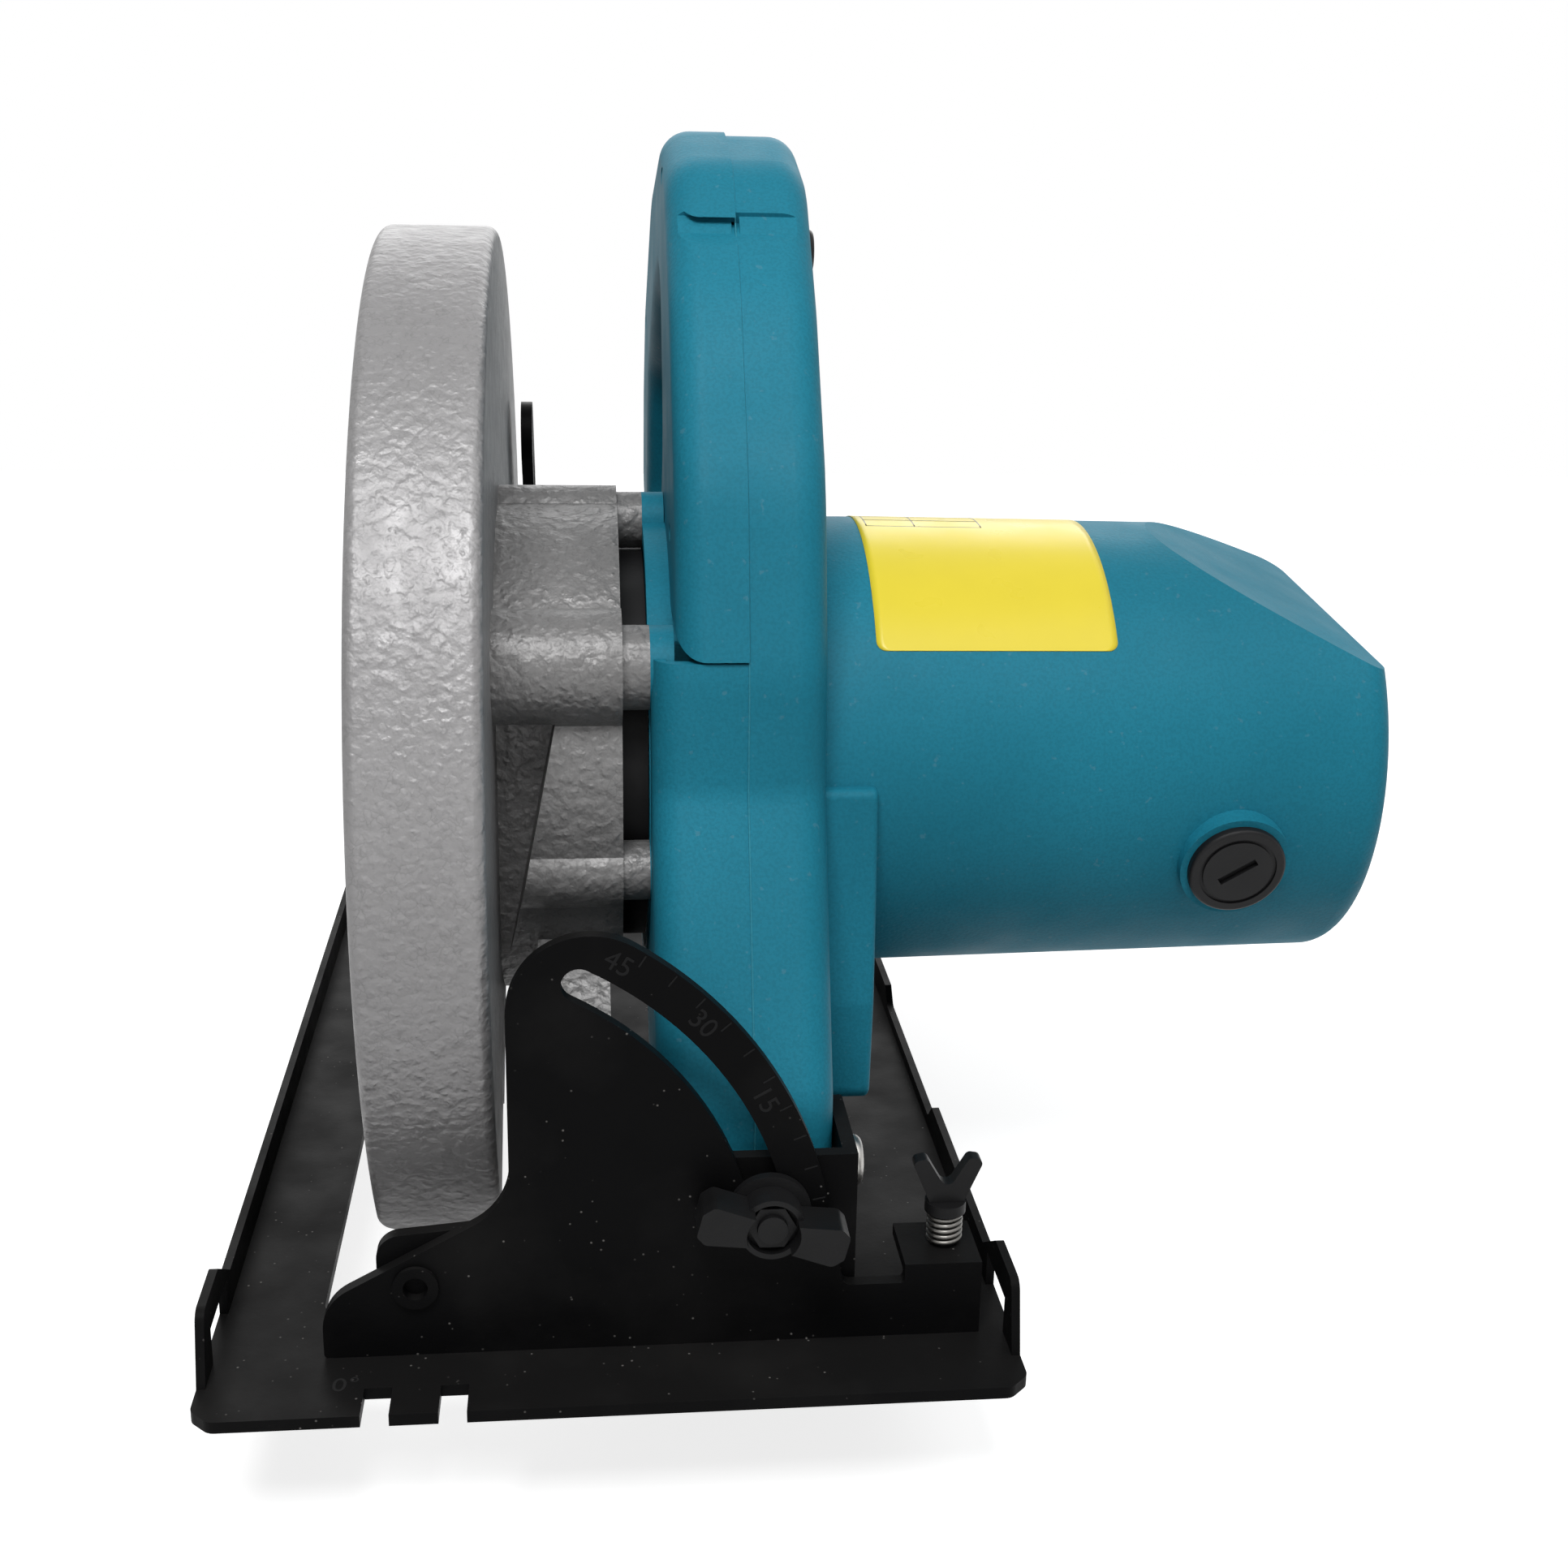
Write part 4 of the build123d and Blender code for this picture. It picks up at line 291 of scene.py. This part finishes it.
MATERIAL_OF = {
    "black_steel": paint,
    "zinc_steel": zinc,
    "cast_aluminium": cast,
    "bright_steel": steel,
    "lamination_steel": iron,
    "copper": copper,
    "teal_plastic": teal,
    "black_plastic": plastic,
}
for part in frame["record"]["subparts"]:
    node = nodes[part["node"]]
    finish = MATERIAL_OF[part["material_slot"]]
    if part["node"] in ("gear_housing", "bearing_box"):
        finish = cast_fine
    if part["node"] in ("bevel_wing_nut", "bevel_bolt", "fence_clamp_screw"):
        finish = satin
    if part["node"] == "fence_clamp_spring":
        finish = spring_wire
    node.data.materials.clear()
    node.data.materials.append(finish)


def surface_of(*names):
    """Search tree over the faces of some CAD nodes."""
    points = []
    faces = []
    for name in names:
        node = nodes[name]
        start = len(points)
        points += [node.matrix_world @ v.co for v in node.data.vertices]
        faces += [[start + i for i in poly.vertices] for poly in node.data.polygons]
    return BVHTree.FromPolygons(points, faces)


def new_piece(name, mesh, material, body):
    obj = bpy.data.objects.new(name, mesh)
    bpy.context.collection.objects.link(obj)
    mesh.materials.append(material)
    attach(obj, body)
    return obj


def mesh_of(curve_object):
    """Mesh of a curve or a text, whose object is removed."""
    depsgraph = bpy.context.evaluated_depsgraph_get()
    mesh = bpy.data.meshes.new_from_object(curve_object.evaluated_get(depsgraph))
    bpy.data.objects.remove(curve_object)
    return mesh


def solid_sheet(name, rows, thickness, material, body):
    """Thin closed sheet over rows of points, each given with its outward direction."""
    made = bmesh.new()
    under = []
    over = []
    for row in rows:
        under.append([made.verts.new(p) for p, n in row])
        over.append([made.verts.new(p + n * thickness) for p, n in row])
    last = len(rows) - 1
    end = len(rows[0]) - 1
    for r in range(last):
        for c in range(end):
            made.faces.new((over[r][c], over[r][c + 1], over[r + 1][c + 1], over[r + 1][c]))
            made.faces.new((under[r][c], under[r + 1][c], under[r + 1][c + 1], under[r][c + 1]))
    for r in range(last):
        for c in (0, end):
            made.faces.new((under[r][c], over[r][c], over[r + 1][c], under[r + 1][c]))
    for c in range(end):
        for r in (0, last):
            made.faces.new((under[r][c], under[r][c + 1], over[r][c + 1], over[r][c]))
    bmesh.ops.recalc_face_normals(made, faces=made.faces)
    mesh = bpy.data.meshes.new(name)
    made.to_mesh(mesh)
    made.free()
    for face in mesh.polygons:
        face.use_smooth = True
    return new_piece(name, mesh, material, body)


def middle_of(name):
    """Middle of a CAD node's box."""
    low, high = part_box(name)
    return (Vector(low) + Vector(high)) / 2


# Yellow rating label, wrapped over the motor barrel and left without its print
barrel = surface_of("motor_housing")
motor_axis = middle_of("field_core").yz
BARREL_RADIUS = 0.0535
LABEL_X = (0.0585, 0.1125)
LABEL_TURN = (66.0, 143.2)
LABEL_ROUND = 0.0022
LABEL_SHEET = 0.00018
LABEL_LIFT = 0.00002
LABEL_STEPS = 30
LINE_SHEET = 0.00003
LINE_STEPS = 10


def barrel_point(x, turn, lift):
    out = Vector((0.0, math.cos(math.radians(turn)), math.sin(math.radians(turn))))
    start = Vector((x, *motor_axis)) + out * BARREL_RADIUS * 2
    hit, _, _, _ = barrel.ray_cast(start, -out)
    return hit + out * lift, out


def barrel_sheet(name, x_range, turn_range, corner, lift, sheet, material, steps):
    """Rectangle with rounded corners, laid on the barrel."""
    length = math.radians(turn_range[1] - turn_range[0]) * BARREL_RADIUS
    fine = [corner * (1 - math.cos(math.radians(a))) for a in range(0, 91, 15)] if corner else [0.0]
    along = fine + [fine[-1] + (length - 2 * fine[-1]) * i / steps for i in range(1, steps)]
    along += [length - d for d in reversed(fine)]
    rows = []
    for place in along:
        near = min(place, length - place)
        trim = 0.0
        if corner and near < corner:
            trim = corner - math.sqrt(max(corner ** 2 - (corner - near) ** 2, 0.0))
        turn = turn_range[0] + math.degrees(place / BARREL_RADIUS)
        row = []
        for i in range(steps + 1):
            x = x_range[0] + trim + (x_range[1] - x_range[0] - 2 * trim) * i / steps
            row.append(barrel_point(x, turn, lift))
        rows.append(row)
    return solid_sheet(name, rows, sheet, material, "saw_body")


barrel_sheet(
    "rating_label",
    LABEL_X,
    LABEL_TURN,
    LABEL_ROUND,
    LABEL_LIFT,
    LABEL_SHEET,
    yellow,
    LABEL_STEPS,
)


def label_line(name, x_range, turn_range):
    barrel_sheet(name, x_range, turn_range, 0.0, LABEL_SHEET, LINE_SHEET, ink, LINE_STEPS)


TABLE_X = (0.0605, 0.0875)
TABLE_TURN = (78.0, 97.0)
TABLE_ROWS = 3
LINE = 0.00028
LINE_TURN = math.degrees(LINE / BARREL_RADIUS)
for row in range(TABLE_ROWS + 1):
    turn = TABLE_TURN[0] + (TABLE_TURN[1] - TABLE_TURN[0]) * row / TABLE_ROWS
    label_line(f"label_rule_{row}", TABLE_X, (turn, turn + LINE_TURN))
for column, share in enumerate((0.0, 0.42, 1.0)):
    x = TABLE_X[0] + (TABLE_X[1] - TABLE_X[0]) * share
    label_line(f"label_column_{column}", (x, x + LINE), (TABLE_TURN[0], TABLE_TURN[1] + LINE_TURN))

# Mould seam: a fine bead along the parting line of the handle, in a paler teal that paints a highlight
# along its ridge
parting_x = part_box("handle_right")[0][0]
handle = surface_of("handle_right")
BEAD_RADIUS = 0.00022
BEAD_SIDE = 0.0004
BEAD_START_Z = 0.030
BEAD_RISE = 0.0034
BEAD_RISES = 60
BEAD_FRONT_Y = -0.03
BEAD_STEP = 0.004
BEAD_STEPS = 40
BEAD_END_Y = 0.09
FAR = 0.4
bead = bpy.data.curves.new("mould_seam", "CURVE")
bead.dimensions = "3D"
bead.bevel_depth = BEAD_RADIUS
bead.bevel_resolution = 2
bead_points = []
for step in range(BEAD_RISES):
    z = BEAD_START_Z + step * BEAD_RISE
    hit, _, _, _ = handle.ray_cast(Vector((parting_x + BEAD_SIDE, -FAR, z)), Vector((0, 1, 0)))
    if hit and hit.y < BEAD_FRONT_Y:
        bead_points.append(Vector((parting_x, hit.y, hit.z)))
y = bead_points[-1].y
for step in range(BEAD_STEPS):
    y += BEAD_STEP
    hit, _, _, _ = handle.ray_cast(Vector((parting_x + BEAD_SIDE, y, FAR)), Vector((0, 0, -1)))
    if hit and y < BEAD_END_Y:
        bead_points.append(Vector((parting_x, hit.y, hit.z)))
line = bead.splines.new("POLY")
line.points.add(len(bead_points) - 1)
for spot, place in zip(line.points, bead_points):
    spot.co = (*place, 1.0)
bead_object = bpy.data.objects.new("mould_seam", bead)
bpy.context.collection.objects.link(bead_object)
new_piece("mould_seam", mesh_of(bead_object), seam_highlight_teal, "saw_body")


STAMP_RISE = 0.00004


def stamped_text(name, body, size, matrix, rides):
    """Generic scale figure, raised slightly like a stamping."""
    font = bpy.data.curves.new(name, "FONT")
    font.body = body
    font.size = size
    font.align_x = "CENTER"
    font.align_y = "CENTER"
    font.extrude = STAMP_RISE
    holder = bpy.data.objects.new(name, font)
    bpy.context.collection.objects.link(holder)
    mesh = mesh_of(holder)
    mesh.transform(matrix)
    new_piece(name, mesh, stamped, rides)


# Bevel scale on the quadrant's rim, and the zero mark on the base
bevel = middle_of("front_bevel_pin").xz
bolt_arm = middle_of("bevel_bolt").xz - bevel
bolt_turn = math.degrees(math.atan2(bolt_arm.y, bolt_arm.x))
SCALE_RADIUS = 0.0800
SCALE_SIZE = 0.0058
SCALE_SHIFT = 2.6
TICK_RADIUS = (0.0815, 0.0842)
TICK_WIDTH = 0.0003
TICK_SHEET = 0.00008
TICK_STEP = 5
TICK_LAST = 45
ZERO_SIZE = 0.0062
ZERO_PLACE = (-0.0535, -0.157, 0.00254)
quadrant_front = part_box("bevel_quadrant")[0][1]
face_front = Matrix(((1, 0, 0), (0, 0, -1), (0, 1, 0))).to_4x4()


def on_quadrant(radius, turn):
    spot = bevel + Vector((math.cos(math.radians(turn)), math.sin(math.radians(turn)))) * radius
    return Matrix.Translation((spot.x, quadrant_front - STAMP_RISE, spot.y))


for value in (45, 30, 15):
    turn = bolt_turn + value + SCALE_SHIFT
    lean = Matrix.Rotation(math.radians(turn - 90.0), 4, "Z")
    place = on_quadrant(SCALE_RADIUS, turn) @ face_front @ lean
    stamped_text(f"scale_{value}", str(value), SCALE_SIZE, place, "base")
made = bmesh.new()
for tick in range(0, TICK_LAST + TICK_STEP, TICK_STEP):
    turn = bolt_turn + tick
    length = TICK_RADIUS[1] - TICK_RADIUS[0]
    place = on_quadrant((TICK_RADIUS[0] + TICK_RADIUS[1]) / 2, turn) @ face_front
    size = Matrix.Diagonal((length, TICK_WIDTH, TICK_SHEET, 1))
    place = place @ Matrix.Rotation(math.radians(turn), 4, "Z") @ size
    bmesh.ops.create_cube(made, size=1.0, matrix=place)
ticks = bpy.data.meshes.new("scale_ticks")
made.to_mesh(ticks)
made.free()
new_piece("scale_ticks", ticks, stamped, "base")
stamped_text("zero_mark", "0°", ZERO_SIZE, Matrix.Translation(ZERO_PLACE), "base")


# Cast arrow on the guard's side: the blade turns upwards at the front
arbor = middle_of("spindle").yz
ARROW_RADIUS = 0.0960
ARROW_HALF = 0.0024
ARROW_TURN = (122.0, 84.0)
ARROW_HEAD = 6.5
ARROW_RISE = 0.0007
ARROW_LIFT = 0.00005
ARROW_STEPS = 12
ARROW_BARB = 2.3
ARROW_TIP = 0.0002
guard_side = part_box("upper_guard")[0][0]


def on_guard(radius, turn):
    spot = arbor + Vector((math.cos(math.radians(turn)), math.sin(math.radians(turn)))) * radius
    return Vector((guard_side + ARROW_LIFT, spot.x, spot.y))


outward = Vector((-1.0, 0.0, 0.0))
arrow = []
for step in range(ARROW_STEPS + 1):
    turn = ARROW_TURN[0] + (ARROW_TURN[1] - ARROW_TURN[0]) * step / ARROW_STEPS
    arrow.append([(on_guard(ARROW_RADIUS + side * ARROW_HALF, turn), outward) for side in (-1, 1)])
for turn, half in ((ARROW_TURN[1], ARROW_HALF * ARROW_BARB), (ARROW_TURN[1] - ARROW_HEAD, ARROW_TIP)):
    arrow.append([(on_guard(ARROW_RADIUS + side * half, turn), outward) for side in (-1, 1)])
solid_sheet("rotation_arrow", arrow, ARROW_RISE, cast, "saw_body")


def seen_directly(tree):
    """1 for camera, glossy and transmission rays, and 0 for the rest."""
    path = tree.nodes.new("ShaderNodeLightPath")
    value = path.outputs["Is Camera Ray"]
    for name in ("Is Glossy Ray", "Is Transmission Ray"):
        larger = tree.nodes.new("ShaderNodeMath")
        larger.operation = "MAXIMUM"
        linked(tree, value, larger.inputs[0])
        linked(tree, path.outputs[name], larger.inputs[1])
        value = larger.outputs[0]
    return value


def scaled_value(tree, value, low, high):
    made = tree.nodes.new("ShaderNodeMapRange")
    made.inputs["To Min"].default_value = low
    made.inputs["To Max"].default_value = high
    linked(tree, value, made.inputs["Value"])
    return made.outputs["Result"]


FLOOR_BOUNCE = 0.65


def floor_material(name, color, glow):
    """Pale matt floor that is seen as white and keeps the object's soft shadow."""
    made = Shader(name, color, 0.7)
    made.bsdf.inputs["Specular IOR Level"].default_value = 0.0
    made.color(made.mixed(seen_directly(made.tree), tuple(c * FLOOR_BOUNCE for c in color), color))
    made.bsdf.inputs["Emission Color"].default_value = (1, 1, 1, 1)
    strength = scaled_value(made.tree, seen_directly(made.tree), 0.0, glow)
    linked(made.tree, strength, made.bsdf.inputs["Emission Strength"])
    return made.mat


FLOOR_SIZE = 2.6
FLOOR_GAP = 0.0005
FLOOR_COLOR = (0.6, 0.6, 0.6)
FLOOR_GLOW = 0.80
SKY_LIGHT = 0.10
SKY_SEEN = 1.0
floor_z = cad_box[0][2] - FLOOR_GAP
bpy.ops.mesh.primitive_plane_add(size=FLOOR_SIZE, location=(0, 0, floor_z))
floor = bpy.context.object
floor.name = "floor"
floor.data.materials.append(floor_material("floor_white", FLOOR_COLOR, FLOOR_GLOW))

world = bpy.data.worlds.new("studio")
bpy.context.scene.world = world
world.use_nodes = True
background = world.node_tree.nodes["Background"]
background.inputs["Color"].default_value = (1, 1, 1, 1)
sky = scaled_value(world.node_tree, seen_directly(world.node_tree), SKY_LIGHT, SKY_SEEN)
linked(world.node_tree, sky, background.inputs["Strength"])


def soft_light(name, place, target, size, power):
    data = bpy.data.lights.new(name, "AREA")
    data.shape = "RECTANGLE"
    data.size = size[0]
    data.size_y = size[1]
    data.energy = power
    lamp = bpy.data.objects.new(name, data)
    bpy.context.collection.objects.link(lamp)
    lamp.location = place
    aim = Vector(target) - Vector(place)
    lamp.rotation_euler = aim.to_track_quat("-Z", "Y").to_euler()


soft_light("key", (-0.15, -0.85, 1.20), (-0.02, 0, 0.14), (0.6, 0.5), 15)
soft_light("fill", (-0.10, -1.50, 0.30), (0.0, 0, 0.12), (0.9, 0.5), 1.8)
soft_light("top", (0.75, -0.55, 1.25), (0.08, 0, 0.1), (0.8, 0.8), 4)
soft_light("back", (0.2, 1.3, 0.9), (0, 0, 0.1), (1.4, 0.9), 8)

down = math.radians(CAMERA_DOWN)
turn = math.radians(CAMERA_TURN)
roll = math.radians(CAMERA_ROLL)
forward = Vector((-math.sin(turn) * math.cos(down), math.cos(turn) * math.cos(down), -math.sin(down)))
level_right = Vector((math.cos(turn), math.sin(turn), 0.0))
level_up = level_right.cross(forward)
right = level_right * math.cos(roll) + level_up * math.sin(roll)
up = level_up * math.cos(roll) - level_right * math.sin(roll)
lens = bpy.data.cameras.new("camera")
lens.sensor_width = SENSOR
lens.lens = SENSOR * PHOTO_FOCAL / PHOTO_SIZE
lens.clip_start = 0.01
camera = bpy.data.objects.new("camera", lens)
bpy.context.collection.objects.link(camera)
facing = Matrix((right, up, -forward)).transposed().to_4x4()
camera.matrix_world = Matrix.Translation(CAMERA_PLACE) @ facing
bpy.context.scene.camera = camera
bpy.context.scene.view_settings.view_transform = "Standard"
